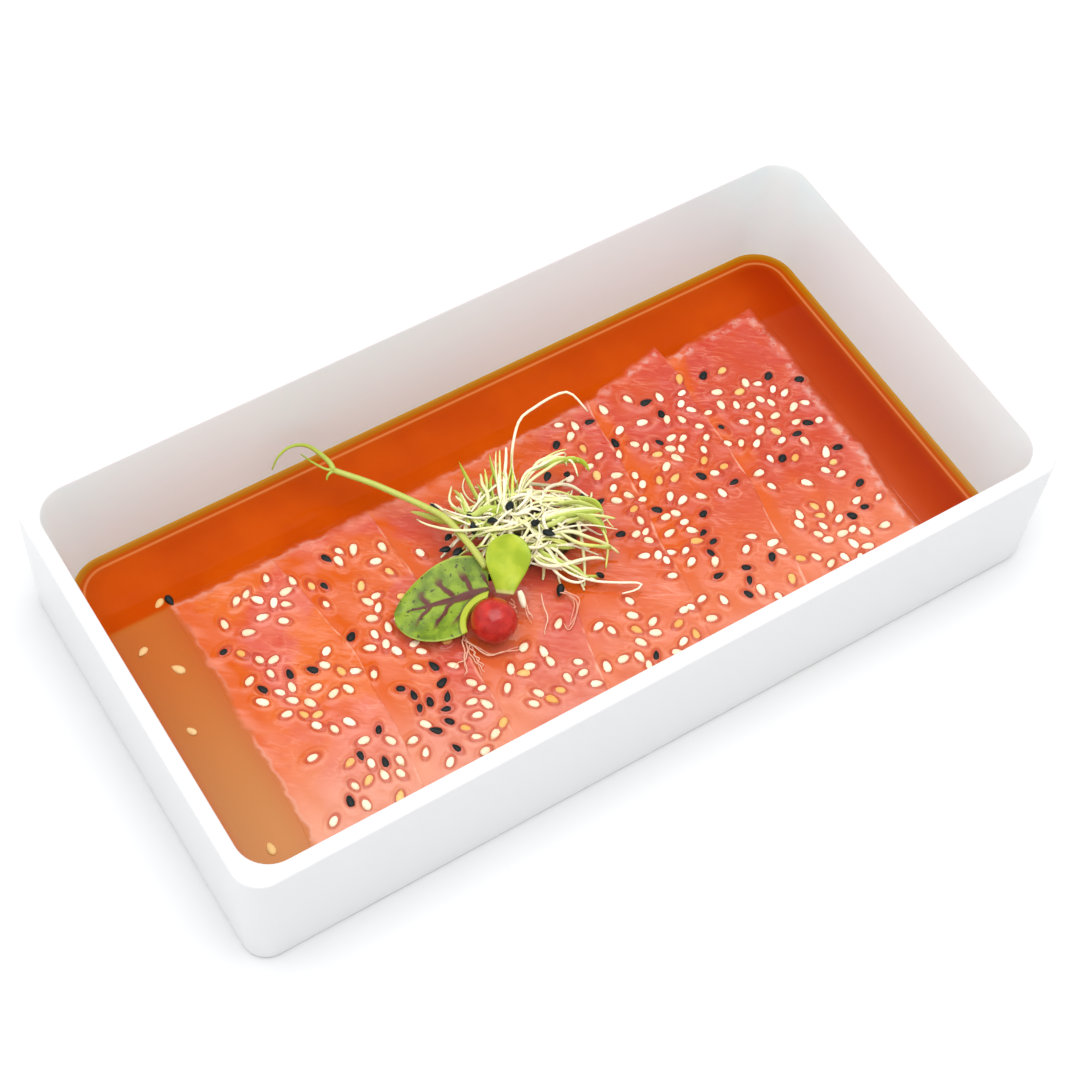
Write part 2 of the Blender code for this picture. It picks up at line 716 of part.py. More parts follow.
def core_top(share, turn):
    """Height of the sprout core over its base at a share of its radius."""
    bump = CORE_BUMP * math.sin(5 * turn + 4 * share) * share
    return CORE_HEIGHT * (1 - share ** 2) ** 0.5 + bump


def core_point(share, turn, z):
    reach = share * (1 + 0.06 * math.sin(3 * turn + 1) + 0.04 * math.sin(7 * turn))
    along = reach * CORE_HALF[0] * math.cos(turn)
    across = reach * CORE_HALF[1] * math.sin(turn)
    x = CORE_CENTRE[0] + along * math.cos(CORE_TURN) - across * math.sin(CORE_TURN)
    y = CORE_CENTRE[1] + along * math.sin(CORE_TURN) + across * math.cos(CORE_TURN)
    return (x, y, z)


def make_core(finish):
    """An uneven dome with a flat base."""
    turns = [2 * math.pi * i / CORE_SECTORS for i in range(CORE_SECTORS)]
    rings = [[core_point(0.97, turn, CORE_BOTTOM) for turn in turns]]
    rings.append([core_point(1.0, turn, CORE_BOTTOM + CORE_FOOT) for turn in turns])
    for ring in range(1, CORE_RINGS):
        share = math.cos(math.pi / 2 * ring / CORE_RINGS)
        rings.append([core_point(share, turn, CORE_BOTTOM + core_top(share * 0.995, turn)) for turn in turns])
    points, faces = loft(rings)
    faces.pop()
    top = len(points)
    start = top - CORE_SECTORS
    points.append(core_point(0.0, 0.0, CORE_BOTTOM + CORE_HEIGHT))
    faces += [(start + i, start + (i + 1) % CORE_SECTORS, top) for i in range(CORE_SECTORS)]
    return add_object("sprouts", points, faces, finish)


def strand_paths(others):
    """Sprout stems that leave the core, rise a little, bend and droop, where there is room."""
    draw = random.Random(SEEDED + 2)
    paths = [[np.array(p) * MM for p in smooth_path(path, 2)] for path in NAMED_STRANDS.values()]
    attempt = 0
    while len(paths) < STRAND_COUNT + len(NAMED_STRANDS) and attempt < STRAND_TRIES:
        attempt += 1
        turn = draw.uniform(0, 2 * math.pi)
        share = draw.uniform(*STRAND_ROOT)
        start = np.array(core_point(share, turn, CORE_BOTTOM + STRAND_ROOT_HEIGHT * core_top(share, turn)))
        heading = turn + CORE_TURN + draw.uniform(-STRAND_TURN, STRAND_TURN)
        bend = draw.uniform(-STRAND_BEND, STRAND_BEND)
        climb = draw.uniform(*STRAND_CLIMB)
        stride = draw.uniform(*STRAND_STRIDE)
        path = [start]
        for _ in range(draw.randint(*STRAND_STRIDES)):
            move = np.array((math.cos(heading), math.sin(heading), climb))
            path.append(path[-1] + stride * move / np.linalg.norm(move))
            heading += bend
            climb -= draw.uniform(*STRAND_DROOP)
        path = [p for p in path if p[2] - STRAND_RADIUS > REST_HEIGHT]
        if len(path) > 3 and keeps_clear(path, STRAND_RADIUS, others):
            paths.append(path)
    return paths


def make_sprouts():
    finish = material("sprout_stems", (0.75, 0.74, 0.42), 0.45)
    others = obstacles()
    body = make_core(finish)
    parts = []
    paths = strand_paths(others)
    for i, path in enumerate(paths):
        radii = tapered(path, STRAND_RADIUS, 0.8 * STRAND_RADIUS)
        parts.append(add_object(f"strand_{i}", *tube(path, radii, STRAND_SIDES), finish))
    for i in range(CAP_COUNT):
        path = paths[len(NAMED_STRANDS) + 2 * i]
        tip = path[-1]
        if keeps_clear([tip], CAP_REACH, others):
            parts.append(seed_object(f"cap_{i}", (tip[0], tip[1], 1.3 * i, tip[2]), finish))
    combine(body, parts, "UNION")


def main():
    clear_scene()
    make_dish()
    make_sauce()
    make_slices()
    make_berry()
    grid, face = sorrel_grid()
    make_leaf("sorrel_leaf", grid, face, LEAF_THICKNESS, LEAF_CELLS, material("sorrel", (0.16, 0.3, 0.04), 0.4))
    grid, face = lime_grid()
    make_leaf("lime_leaf", grid, face, LIME_THICKNESS, LIME_CELLS, material("lime", (0.5, 0.6, 0.04), 0.4))
    make_shoot()
    make_sprouts()


main()
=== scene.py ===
"""Looks of the tuna carpaccio in its white dish.

Every length here is in millimetres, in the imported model's frame, and becomes metres where a
mesh is made. The slices, the sauce and the seeds follow the same rules as the solids.
"""

import math
import random

import bpy
import numpy as np
from mathutils import Matrix, Vector


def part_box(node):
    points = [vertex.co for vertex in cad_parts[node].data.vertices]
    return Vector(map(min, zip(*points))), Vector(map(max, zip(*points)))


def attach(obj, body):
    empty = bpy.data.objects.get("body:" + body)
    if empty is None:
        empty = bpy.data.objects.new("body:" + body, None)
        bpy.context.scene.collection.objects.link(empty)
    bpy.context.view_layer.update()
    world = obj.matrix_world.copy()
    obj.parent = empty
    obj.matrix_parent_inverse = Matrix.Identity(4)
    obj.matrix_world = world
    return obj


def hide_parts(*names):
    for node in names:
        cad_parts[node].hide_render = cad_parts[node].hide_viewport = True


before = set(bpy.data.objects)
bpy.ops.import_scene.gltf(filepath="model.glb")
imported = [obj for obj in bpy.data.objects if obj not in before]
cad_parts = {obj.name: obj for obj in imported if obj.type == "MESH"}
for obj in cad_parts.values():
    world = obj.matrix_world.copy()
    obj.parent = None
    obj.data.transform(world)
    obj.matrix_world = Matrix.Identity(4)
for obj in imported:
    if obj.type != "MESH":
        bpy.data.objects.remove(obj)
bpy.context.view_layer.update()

MM = 0.001
LOW, HIGH = (np.array(corner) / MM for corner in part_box("dish"))

# Dish
DISH_LENGTH, DISH_WIDTH, DISH_HEIGHT = HIGH - LOW
FLOOR_TOP = 3.6
BASE_INSET = 0.6
RIM_WALL = 3.45
FILLET_RADIUS = 3.0
FILLET_INSET = 5.45
OUTER_CORNER = 6.3
INNER_CORNER_RIM = 7.4
INNER_CORNER_FLOOR = 9.9
RIM_ROUND = 0.7
BASE_ROUND = 1.2

# Sauce
SAUCE_LEVEL = 7.4
WALL_CLIMB = 0.45
WALL_CLIMB_REACH = 0.8
BACK_SHADE = (28.8, 27.6)
WALL_BITE = 0.05
UNDER_FISH_X = 3.0
UNDER_FISH_Y = 2.5
UNDER_FISH_CORNER = 3.0
SAUCE_UNDERSIDE = 4.2
UNDERSIDE_INSET = 8.6
UNDERSIDE_CORNER = 6.9

# Slices
GAP = 0.3
SLICE_THICKNESS = 1.6
SLICE_BASE = FLOOR_TOP + GAP + 0.15
SLICE_LIFT = SLICE_THICKNESS + GAP
SLICE_OVERLAP = 8.0
SLICE_BACK = 30.0
SLICE_FRONT = -41.5
EDGE_BACK = (-77.5, -52.7, -28.5, 4.5, 31.5, 53.5, 80.5)
EDGE_FRONT = (-78.8, -52.8, -29.3, -6.8, 20.5, 46.0, 78.2)
EDGE_BOW = (0.3, 4.5, 2.2, 1.8, 0.2, 1.8, 0.8)
BACK_LEFT = (29.3, 29.2, 29.4, 29.8, 30.4, 31.6)
BACK_RIGHT = (29.0, 29.4, 29.7, 30.2, 35.2, 33.6)
SLICE_COUNT = len(BACK_LEFT)
EDGE_WAVE = 0.5
END_WAVE = 0.3
FACE_WAVE = 0.12
POOL_WIDTH = 4.0
POOL_SHARE = 0.6
THIN_EDGE = 1.2
THIN_SHARE = 0.7
FILM_LEVEL = SAUCE_LEVEL + 0.03
FILM_BLEND = 0.15
FILM_EDGE = 0.3
SHORE_REACH = 3.0
SHORE_LEVEL = SAUCE_LEVEL + 0.005
HIDDEN_DIP = 0.25
TUCKED = (-1.1, -0.7)
POOL_BACK = 27.0
SWELL = 0.16
RIDGE_RISE = 0.1
RIDGE_WIDTH = 0.45
RIDGE_INSET = 0.6
SLICE_TONES = (0.0, 0.3, 0.4, 0.8, 0.95, 1.1)
SLICE_CELLS = (118, 240)
FAR = 9.0

# Sesame. A cluster is its middle x, y, its spread x, y, and how many white and black seeds it has
SEED_LENGTH = 3.2
SEED_WIDTH = 1.95
SEED_DEPTH = 1.15
SEED_SPACING = 2.5
SEED_TRIES = 60
SEED_BACK_GAP = 2.8
SEED_FRONT_GAP = 4.5
SEED_SIZES = (0.86, 1.08)
SEED_PITCH = 0.22
NEST_GAP = 2.6
SEED_CLUSTERS = {
    "beside_nest": (27, -4, 4, 10, 22, 6),
    "back_right": (43, 9, 9, 8, 22, 5),
    "far_right": (63, 1, 6, 8, 15, 4),
    "front_right": (54, -29, 13, 6, 19, 6),
    "front_middle": (12, -32, 15, 5, 20, 3),
    "before_nest": (-24, -25, 10, 5, 11, 2),
    "left_middle": (-42, -7, 8, 10, 28, 6),
    "left_front": (-50, -30, 10, 6, 17, 6),
    "left_end": (-67, -2, 5, 10, 16, 3),
    "back_left": (-50, 17, 13, 4, 8, 1),
    "back_middle": (20, 25, 6, 3, 4, 1),
}
SAUCE_SEEDS = ((-87, 21), (-82.5, 13.5), (-87, -1), (-85.5, -33))
POOL_SEED_COUNT = 92
FLOAT_SPACING = 2.6
FLOAT_BACK = 26.0
FLOAT_FRONT = SLICE_FRONT + 1.5
SEEDED = 20
MENISCUS_RISE = 0.5
MENISCUS_REACH = 1.15
LIP_RISE = 0.09
LIP_WIDTH = 0.3
SEED_FLOAT = 0.26
SEED_SUNK = -0.02
CORNER_SEEDS = ((-78.6, 29.9, "sunk"), (-76.3, 29.4, "black"))

# Garnish
BERRY_CENTRE = np.array((-20.0, -12.7, 13.0))
BERRY_RADIUS = 5.05
SEED_BERRY_GAP = 5.9
BERRY_FOOT = 1.6
BERRY_FILM = 3.4
BERRY_RISE = 0.95
LEAF_BASE = (-16.9, -5.5, 12.9)
LEAF_TIP = (-37.0, 0.6, 10.2)
LEAF_HALF_WIDTH = 9.3
LEAF_THICKNESS = 0.5
LEAF_CUP = 1.1
LEAF_SHAPE = (LEAF_BASE, LEAF_TIP, LEAF_HALF_WIDTH, LEAF_CUP, (0.28, 0.95, 0.1), 0.72, 3.2)
FOLD_WIDTH = 2.6
LIME_BASE = (-14.6, -8.3, 13.2)
LIME_TIP = (-8.4, 0.2, 21.0)
LIME_HALF_WIDTH = 4.9
LIME_THICKNESS = 0.6
LIME_CUP = 0.9
LIME_FOOT = 1.9
LIME_SHAPE = (LIME_BASE, LIME_TIP, LIME_HALF_WIDTH, LIME_CUP, (0.79, -0.61, 0.0), 1.5, 0.0, LIME_FOOT)
SHOOT_PATH = ((-15.3, -1.5, 15.3), (-15.4, 6.0, 14.9), (-16.3, 14.2, 14.5), (-18.9, 19.7, 14.2),
              (-22.4, 25.0, 14.6), (-26.1, 30.0, 15.2), (-31.7, 36.2, 16.2))
TENDRIL_PATH = ((-31.7, 36.2, 16.2), (-31.9, 38.6, 17.2), (-34.7, 42.2, 20.2), (-38.5, 43.0, 21.8),
                (-41.8, 42.6, 21.0), (-44.0, 41.8, 18.4))
SIDE_TENDRIL_PATH = ((-31.7, 36.2, 16.2), (-33.4, 37.4, 16.6), (-35.3, 40.2, 17.4),
                     (-36.8, 41.8, 19.2))
STUB_PATH = ((-31.7, 36.2, 16.2), (-33.3, 35.9, 16.0), (-34.0, 35.4, 15.2))
SHOOT_RADIUS = 0.95
CORE_CENTRE = np.array((0.0, 5.5))
CORE_HALF = np.array((14.0, 10.5))
CORE_TURN = math.radians(-32.0)
CORE_BOTTOM = SAUCE_LEVEL + 0.6
CORE_HEIGHT = 9.0
STRAND_STEPS = 25
TANGLE_COUNT = 46
STRAND_TRIES = 12
STEM_RADII = (0.2, 0.46)
LEAFLET_RADII = (0.6, 1.0)
ROOT_RADII = (0.1, 0.2)
NAMED_RADII = (0.34, 0.3, 0.34, 0.34, 0.8)
NAMED_TONES = (0.1, 0.0, 0.75, 0.3, 0.0)
NAMED_STRANDS = {
    "tall_loop": ((2.0, 9.0, 12.5), (3.3, 17.9, 14.6), (9.8, 26.2, 17.0), (15.1, 27.6, 18.0),
                  (21.8, 28.0, 18.2), (24.6, 26.9, 17.4), (26.4, 22.6, 14.6)),
    "long_white": ((-1.0, -1.5, 14.0), (0.3, -9.0, 12.0), (4.4, -13.2, 10.3), (9.0, -16.2, 9.7),
                   (14.0, -18.9, 9.2), (12.5, -19.8, 9.0), (9.2, -19.0, 8.9)),
    "yellow_side": ((-6.2, 5.3, 13.0), (1.1, 7.0, 16.0), (7.6, 4.8, 15.5), (12.5, -0.1, 13.5),
                    (12.7, -7.0, 11.5), (9.4, -12.0, 9.5)),
    "left_end": ((-5.5, 8.0, 12.5), (-11.5, 12.5, 14.4), (-12.6, 18.0, 12.8), (-9.5, 22.6, 10.8)),
}

# Guides that the strands follow: how many copies, how far they stray, and points on the way
GUIDES = {
    "upright_a": (4, 1.1, ((-8.0, 3.1, 12.0), (-3.5, 11.9, 15.0), (1.2, 21.1, 17.5))),
    "upright_b": (4, 1.0, ((-5.6, 3.3, 12.0), (-2.2, 10.8, 15.5), (4.4, 20.4, 18.0))),
    "upright_c": (4, 1.3, ((-9.4, 5.5, 12.0), (-6.9, 13.1, 14.0), (-3.5, 21.7, 15.0))),
    "top_arc": (5, 1.2, ((-2.7, 6.8, 13.0), (3.2, 13.5, 15.0), (10.3, 15.4, 16.0), (15.3, 13.6, 15.5),
                         (15.2, 10.3, 13.5))),
    "mid_arc": (5, 1.4, ((-6.2, 5.3, 13.0), (1.1, 7.0, 16.0), (7.6, 4.8, 15.5), (12.5, -0.1, 13.5),
                         (12.7, -7.0, 11.5))),
    "right_bundle": (4, 1.5, ((-4.4, 2.0, 14.0), (2.6, 1.0, 16.0), (10.1, -1.7, 15.0), (16.1, -5.7, 12.5))),
    "right_low": (4, 1.5, ((-5.1, 0.8, 13.0), (-0.6, -6.5, 12.5), (4.4, -12.2, 10.3), (10.0, -14.8, 9.6))),
    "left_sweep": (4, 1.2, ((-16.7, 21.9, 11.0), (-15.6, 17.4, 12.5), (-12.9, 11.3, 15.0),
                            (-7.8, 9.2, 15.5), (-1.3, 6.3, 15.5))),
    "left_low": (4, 1.3, ((-19.0, 16.0, 11.0), (-17.8, 11.6, 13.0), (-12.7, 7.5, 15.5),
                          (-6.5, 5.0, 16.0), (6.7, 3.3, 15.0), (12.9, 2.1, 13.0))),
    "left_leaf": (4, 1.2, ((-10.3, 21.1, 12.0), (-11.4, 15.1, 14.0), (-11.8, 8.8, 15.0),
                           (-9.4, 2.2, 14.0))),
    "diagonal": (4, 1.4, ((-19.7, 8.1, 11.0), (-15.1, 9.7, 14.0), (-7.6, 13.7, 15.0), (-2.2, 15.4, 15.0))),
    "long_diagonal": (4, 1.6, ((-19.6, 3.9, 11.0), (-13.2, 5.0, 14.0), (-6.0, 5.9, 16.0),
                               (4.1, 6.8, 16.0))),
    "right_fan": (4, 1.7, ((-3.7, -1.0, 13.5), (3.6, -3.8, 14.0), (10.5, -7.5, 12.0), (12.8, -9.5, 10.3))),
    "low_fan": (4, 1.7, ((-4.7, -2.6, 12.5), (0.9, -8.5, 11.3), (7.8, -11.8, 9.8))),
}
BROAD_GUIDES = {"upright_a": 5, "upright_b": 4, "upright_c": 3, "right_bundle": 6, "left_leaf": 3,
                "right_fan": 4, "long_diagonal": 3, "mid_arc": 3, "left_sweep": 2, "top_arc": 2,
                "right_low": 3}
ROOT_GUIDES = {
    "pink_curl": (3, 0.5, ((-2.6, -11.9, 10.0), (-0.8, -14.5, 9.3), (-1.1, -16.6, 8.8), (-3.4, -19.2, 8.5),
                           (-5.9, -20.6, 8.4), (-6.5, -18.8, 8.4))),
    "front_stem": (1, 0.2, ((-6.4, -11.0, 10.2), (-7.1, -13.0, 9.5), (-9.1, -16.7, 8.8),
                            (-11.4, -20.5, 8.4))),
    "lime_hair": (3, 0.5, ((-11.2, -9.6, 11.0), (-10.8, -12.0, 9.5), (-11.1, -15.0, 8.5))),
    "lime_side_hair": (2, 0.4, ((-13.0, -9.2, 10.6), (-13.2, -10.6, 9.5), (-13.8, -12.5, 8.6))),
    "berry_ring": (2, 0.4, ((-26.9, -8.4, 8.5), (-25.9, -12.7, 8.4), (-23.7, -17.0, 8.4),
                            (-20.7, -18.7, 8.4), (-16.4, -19.9, 8.4))),
    "berry_hair_a": (3, 0.5, ((-25.6, -12.0, 8.4), (-30.3, -17.1, 8.4), (-32.0, -18.3, 8.4))),
    "berry_hair_b": (3, 0.5, ((-25.5, -12.6, 8.4), (-26.3, -17.2, 8.4), (-27.4, -21.0, 8.4))),
}
HULLS = ((-15.8, 19.5, 11.4), (-17.8, 10.3, 13.0), (-19.6, 8.6, 11.8), (-14.6, -2.2, 11.4),
         (8.6, 11.7, 15.4), (13.3, 10.7, 14.4), (7.3, -12.8, 9.5), (-2.4, -11.8, 9.6),
         (-11.1, 12.1, 15.0), (-8.4, 7.3, 16.8), (-0.5, 2.1, 16.9), (-17.7, 6.4, 12.4),
         (13.8, 4.9, 12.4), (-15.2, 2.6, 13.2), (0.8, -1.4, 16.2), (-12.6, 8.2, 15.6), (-3.0, 8.8, 16.6))
STUB = ((-11.6, -9.4, 13.6), (-11.8, -11.0, 12.2), (-12.0, -12.2, 11.0))

# Camera and light
CAMERA_AZIMUTH = -37.18
CAMERA_ELEVATION = 57.60
CAMERA_ROLL = 6.08
CAMERA_DISTANCE = 531.57
CAMERA_SLIDE = (-0.36, -6.41)
CAMERA_LENS = 79.09
SENSOR_WIDTH = 36.0
LIGHT_SPAN = ((-500.0, 750.0), (-500.0, 530.0))
LIGHT_HEIGHT = 900.0
LIGHT_RADIANCE = 0.9
WORLD_STRENGTH = 0.81
DARK_CEILING = 0.12


# Meshes

def grid_quads(rows, columns, wrap_rows=False, wrap_columns=False):
    """Quads of a grid whose points are numbered row by row."""
    row = np.arange(rows if wrap_rows else rows - 1)[:, None]
    column = np.arange(columns if wrap_columns else columns - 1)[None, :]
    next_row = (row + 1) % rows
    next_column = (column + 1) % columns
    corners = [row * columns + column, row * columns + next_column,
               next_row * columns + next_column, next_row * columns + column]
    return np.stack(np.broadcast_arrays(*corners), axis=-1).reshape(-1, 4)


def add_object(name, data):
    item = bpy.data.objects.new(name, data)
    bpy.context.scene.collection.objects.link(item)
    return item


def add_piece(name, points, faces, finish, replaced=(), values=None):
    """A mesh from points and arrays of faces, with named numbers at its points, riding on the root."""
    points = np.asarray(points, dtype=float).reshape(-1, 3)
    mesh = bpy.data.meshes.new(name)
    corners = np.concatenate([np.asarray(group).ravel() for group in faces]).astype(np.int32)
    sizes = np.concatenate([np.full(len(group), np.asarray(group).shape[1]) for group in faces])
    starts = np.concatenate(([0], np.cumsum(sizes)[:-1])).astype(np.int32)
    mesh.vertices.add(len(points))
    mesh.vertices.foreach_set("co", (points * MM).astype(np.float32).ravel())
    mesh.loops.add(len(corners))
    mesh.loops.foreach_set("vertex_index", corners)
    mesh.polygons.add(len(sizes))
    mesh.polygons.foreach_set("loop_start", starts)
    mesh.polygons.foreach_set("use_smooth", np.ones(len(sizes), dtype=bool))
    for key, numbers in (values or {}).items():
        held = mesh.attributes.new(key, "FLOAT", "POINT")
        held.data.foreach_set("value", np.asarray(numbers, dtype=np.float32).ravel())
    mesh.update(calc_edges=True)
    mesh.validate()
    mesh.materials.append(finish)
    piece = add_object(name, mesh)
    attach(piece, "root")
    if replaced:
        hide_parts(*replaced)


def smooth_step(low, high, value):
    """Share of the way from low to high, eased at both ends."""
    share = np.clip((value - low) / (high - low), 0.0, 1.0)
    return share * share * (3 - 2 * share)


def smooth_path(given, steps):
    """Points on a Catmull-Rom curve: a cubic between each two given points, steps to a stretch."""
    given = np.asarray(given, dtype=float)
    given = np.vstack((2 * given[0] - given[1], given, 2 * given[-1] - given[-2]))
    a, b, c, d = (given[i:len(given) - 3 + i, None] for i in range(4))
    t = (np.arange(steps) / steps)[None, :, None]
    curve = 0.5 * (2 * b + (c - a) * t + (2 * a - 5 * b + 4 * c - d) * t ** 2
                   + (3 * b - a - 3 * c + d) * t ** 3)
    return np.vstack((curve.reshape(-1, 3), given[-2]))


def resample(path, count):
    """The same path with evenly spaced points."""
    run = np.concatenate(([0.0], np.cumsum(np.linalg.norm(np.diff(path, axis=0), axis=1))))
    even = np.linspace(0.0, run[-1], count)
    return np.stack([np.interp(even, run, path[:, axis]) for axis in range(3)], axis=1)


def ring_faces(count, steps, sides):
    """Faces of closed tubes, each of so many rings one after the other, with a cap at either end."""
    first = np.arange(count)[:, None, None] * steps * sides
    quads = (grid_quads(steps, sides, wrap_columns=True)[None] + first).reshape(-1, 4)
    ring = np.arange(sides)[None] + first[:, 0]
    return [quads, ring[:, ::-1], ring + (steps - 1) * sides]


def turned_over(faces):
    """The same faces seen from their other side."""
    return [group[:, ::-1] for group in faces]


def sheet_faces(rows, columns):
    """Faces of two copies of a grid, the second one turned over, joined round their rim."""
    sheet = grid_quads(rows, columns)
    half = rows * columns
    number = np.arange(half).reshape(rows, columns)
    loop = np.concatenate((number[0], number[1:, -1], number[-1, -2::-1], number[-2:0:-1, 0]))
    after = np.roll(loop, -1)
    rim = np.stack((loop, loop + half, after + half, after), axis=1)
    return [sheet, sheet[:, ::-1] + half, rim]


def turned(x, y, angle):
    """A step in the dish, as steps along and across a direction."""
    return x * math.cos(angle) + y * math.sin(angle), y * math.cos(angle) - x * math.sin(angle)


def tubes(paths, radii, sides, flatten=1.0):
    """Closed tubes along many paths of equal length: rings of radius r at each point, carried
    along with as little turning as can be. flatten squashes the rings one way."""
    paths = np.asarray(paths, dtype=float)
    count, steps, _ = paths.shape
    radii = np.broadcast_to(radii, (count, steps))
    ahead = np.gradient(paths, axis=1)
    ahead /= np.linalg.norm(ahead, axis=2, keepdims=True)
    normal = np.cross(ahead[:, 0], (0.31, 0.17, 0.93))
    normals = np.zeros_like(paths)
    for step in range(steps):
        normal = normal - ahead[:, step] * np.sum(ahead[:, step] * normal, axis=1, keepdims=True)
        normal /= np.linalg.norm(normal, axis=1, keepdims=True)
        normals[:, step] = normal
    sideways = np.cross(ahead, normals)
    turn = 2 * np.pi * np.arange(sides) / sides
    flatten = np.broadcast_to(flatten, (count,))[:, None, None, None]
    ring = (normals[:, :, None] * np.cos(turn)[:, None] * flatten
            + sideways[:, :, None] * np.sin(turn)[:, None])
    points = paths[:, :, None] + radii[:, :, None, None] * ring
    return points.reshape(-1, 3), ring_faces(count, steps, sides)


def per_point(numbers, steps, sides):
    """One number of each tube, at each of its points."""
    return np.repeat(np.asarray(numbers, dtype=float), steps * sides)


def along_tubes(count, steps, sides):
    """Share of the way along each tube, at each of its points."""
    return np.broadcast_to(np.linspace(0, 1, steps)[None, :, None], (count, steps, sides)).ravel()


def outline(half_x, half_y, radius, corner_steps, side_steps):
    """Rings round rectangles with arc corners, anticlockwise: each corner's middle plus radius
    times cosine and sine, then straight on to the next corner. One ring for each size given."""
    half_x, half_y, radius = (np.atleast_1d(np.asarray(size, dtype=float))
                              for size in (half_x, half_y, radius))
    quarter = np.arange(4)[:, None]
    turn = np.pi / 2 * (quarter + np.linspace(0, 1, corner_steps + 1)[None])
    sign_x = np.array((1, -1, -1, 1))[:, None]
    sign_y = np.array((1, 1, -1, -1))[:, None]
    radius = radius[:, None, None]
    x = sign_x * (half_x[:, None, None] - radius) + radius * np.cos(turn)
    y = sign_y * (half_y[:, None, None] - radius) + radius * np.sin(turn)
    share = np.arange(1, side_steps) / side_steps
    rings = []
    for corner in (x, y):
        last = corner[:, :, -1:]
        following = np.roll(corner[:, :, :1], -1, axis=1)
        side = last + (following - last) * share
        rings.append(np.concatenate((corner, side), axis=2).reshape(len(corner), -1))
    return np.stack(rings, axis=-1)


# Finishes

class Value:
    """What a node gives out. Arithmetic with it adds further nodes to the same tree."""

    def __init__(self, tree, socket):
        self.tree = tree
        self.socket = socket

    def __add__(self, other):
        return calc("ADD", self, other)

    def __sub__(self, other):
        return calc("SUBTRACT", self, other)

    def __mul__(self, other):
        return calc("MULTIPLY", self, other)

    def __truediv__(self, other):
        return calc("DIVIDE", self, other)

    def __abs__(self):
        return calc("ABSOLUTE", self)

    def ease(self, low, high, to_low=0.0, to_high=1.0):
        """The value eased from one range into another."""
        return add_node(self.tree, "ShaderNodeMapRange", "Result", {
            "Value": self, "From Min": low, "From Max": high, "To Min": to_low, "To Max": to_high,
        }, interpolation_type="SMOOTHSTEP")

    def between(self, low, full_from, full_to, high):
        """One in a middle range, eased to nothing below and above it."""
        return self.ease(low, full_from) * self.ease(full_to, high, 1.0, 0.0)


def feed(node, values):
    """Sets inputs of a node, or links them to what other nodes give."""
    for key, value in values.items():
        socket = node.inputs[key]
        if isinstance(value, Value):
            value.tree.links.new(value.socket, socket)
        else:
            socket.default_value = (*value, 1.0) if socket.type == "RGBA" else value


def add_node(tree, kind, output, values=None, **options):
    """What a new node gives at one output, with its options and inputs set."""
    node = tree.nodes.new(kind)
    for key, value in options.items():
        setattr(node, key, value)
    feed(node, values or {})
    return Value(tree, node.outputs[output])


def calc(operation, a, b=0.0):
    return add_node(a.tree, "ShaderNodeMath", 0, {0: a, 1: b}, operation=operation)


def axes(at):
    """The parts of a place along X, Y and Z."""
    return [add_node(at.tree, "ShaderNodeSeparateXYZ", axis, {0: at}) for axis in "XYZ"]


def held(at, *names):
    """Numbers that the mesh holds at its points, by name."""
    return [add_node(at.tree, "ShaderNodeAttribute", "Fac", attribute_name=name) for name in names]


def place(tree, scale=(1.0, 1.0, 1.0), turn=0.0):
    """Object coordinates in millimetres, turned about Z and stretched."""
    at = add_node(tree, "ShaderNodeTexCoord", "Object")
    at = add_node(tree, "ShaderNodeMapping", 0, {"Vector": at, "Rotation": (0, 0, turn)})
    scale = tuple(value / MM for value in scale)
    return add_node(tree, "ShaderNodeMapping", 0, {"Vector": at, "Scale": scale})


def noise(at, scale, detail=2.0, distortion=0.0):
    return add_node(at.tree, "ShaderNodeTexNoise", "Fac", {
        "Vector": at, "Scale": scale, "Detail": detail, "Distortion": distortion,
    })


def blend(share, a, b):
    """Colour a, or b where the share is one."""
    return add_node(share.tree, "ShaderNodeMix", 2, {0: share, 6: a, 7: b}, data_type="RGBA")


def layered(colour, *layers):
    """A colour under further ones, each laid on by its own share."""
    for share, over in layers:
        colour = blend(share, colour, over)
    return colour


def relief(height, strength, distance):
    return add_node(height.tree, "ShaderNodeBump", "Normal", {
        "Height": height, "Strength": strength, "Distance": distance * MM,
    })


def new_finish(name, **settings):
    """A material, its shader with plain settings, and object coordinates in millimetres."""
    made = bpy.data.materials.new(name)
    made.use_nodes = True
    shader = made.node_tree.nodes["Principled BSDF"]
    feed(shader, {key.replace("_", " "): value for key, value in settings.items()})
    return made, shader, place(made.node_tree)


def new_group(name, inputs, output, kind, make):
    """A node group that makes one output from a place and named numbers."""
    group = bpy.data.node_groups.new(name, "ShaderNodeTree")
    group.interface.new_socket("Place", in_out="INPUT", socket_type="NodeSocketVector")
    for key in inputs:
        group.interface.new_socket(key, in_out="INPUT", socket_type="NodeSocketFloat")
    group.interface.new_socket(output, in_out="OUTPUT", socket_type=kind)
    given = group.nodes.new("NodeGroupInput")
    result = make(*(Value(group, given.outputs[key]) for key in ("Place", *inputs)))
    feed(group.nodes.new("NodeGroupOutput"), {output: result})
    return group


def lines_mask(at, scale, width):
    """Thin wandering lines, where a stretched noise passes its middle value."""
    return abs(noise(at, scale, 2.0, 0.6) - 0.5).ease(0.0, width, 1.0, 0.0)


def patches_mask(at, scale, low, high):
    """Soft patches, eased between a low and a high noise value."""
    return noise(at, scale, 3.0).ease(low, high)


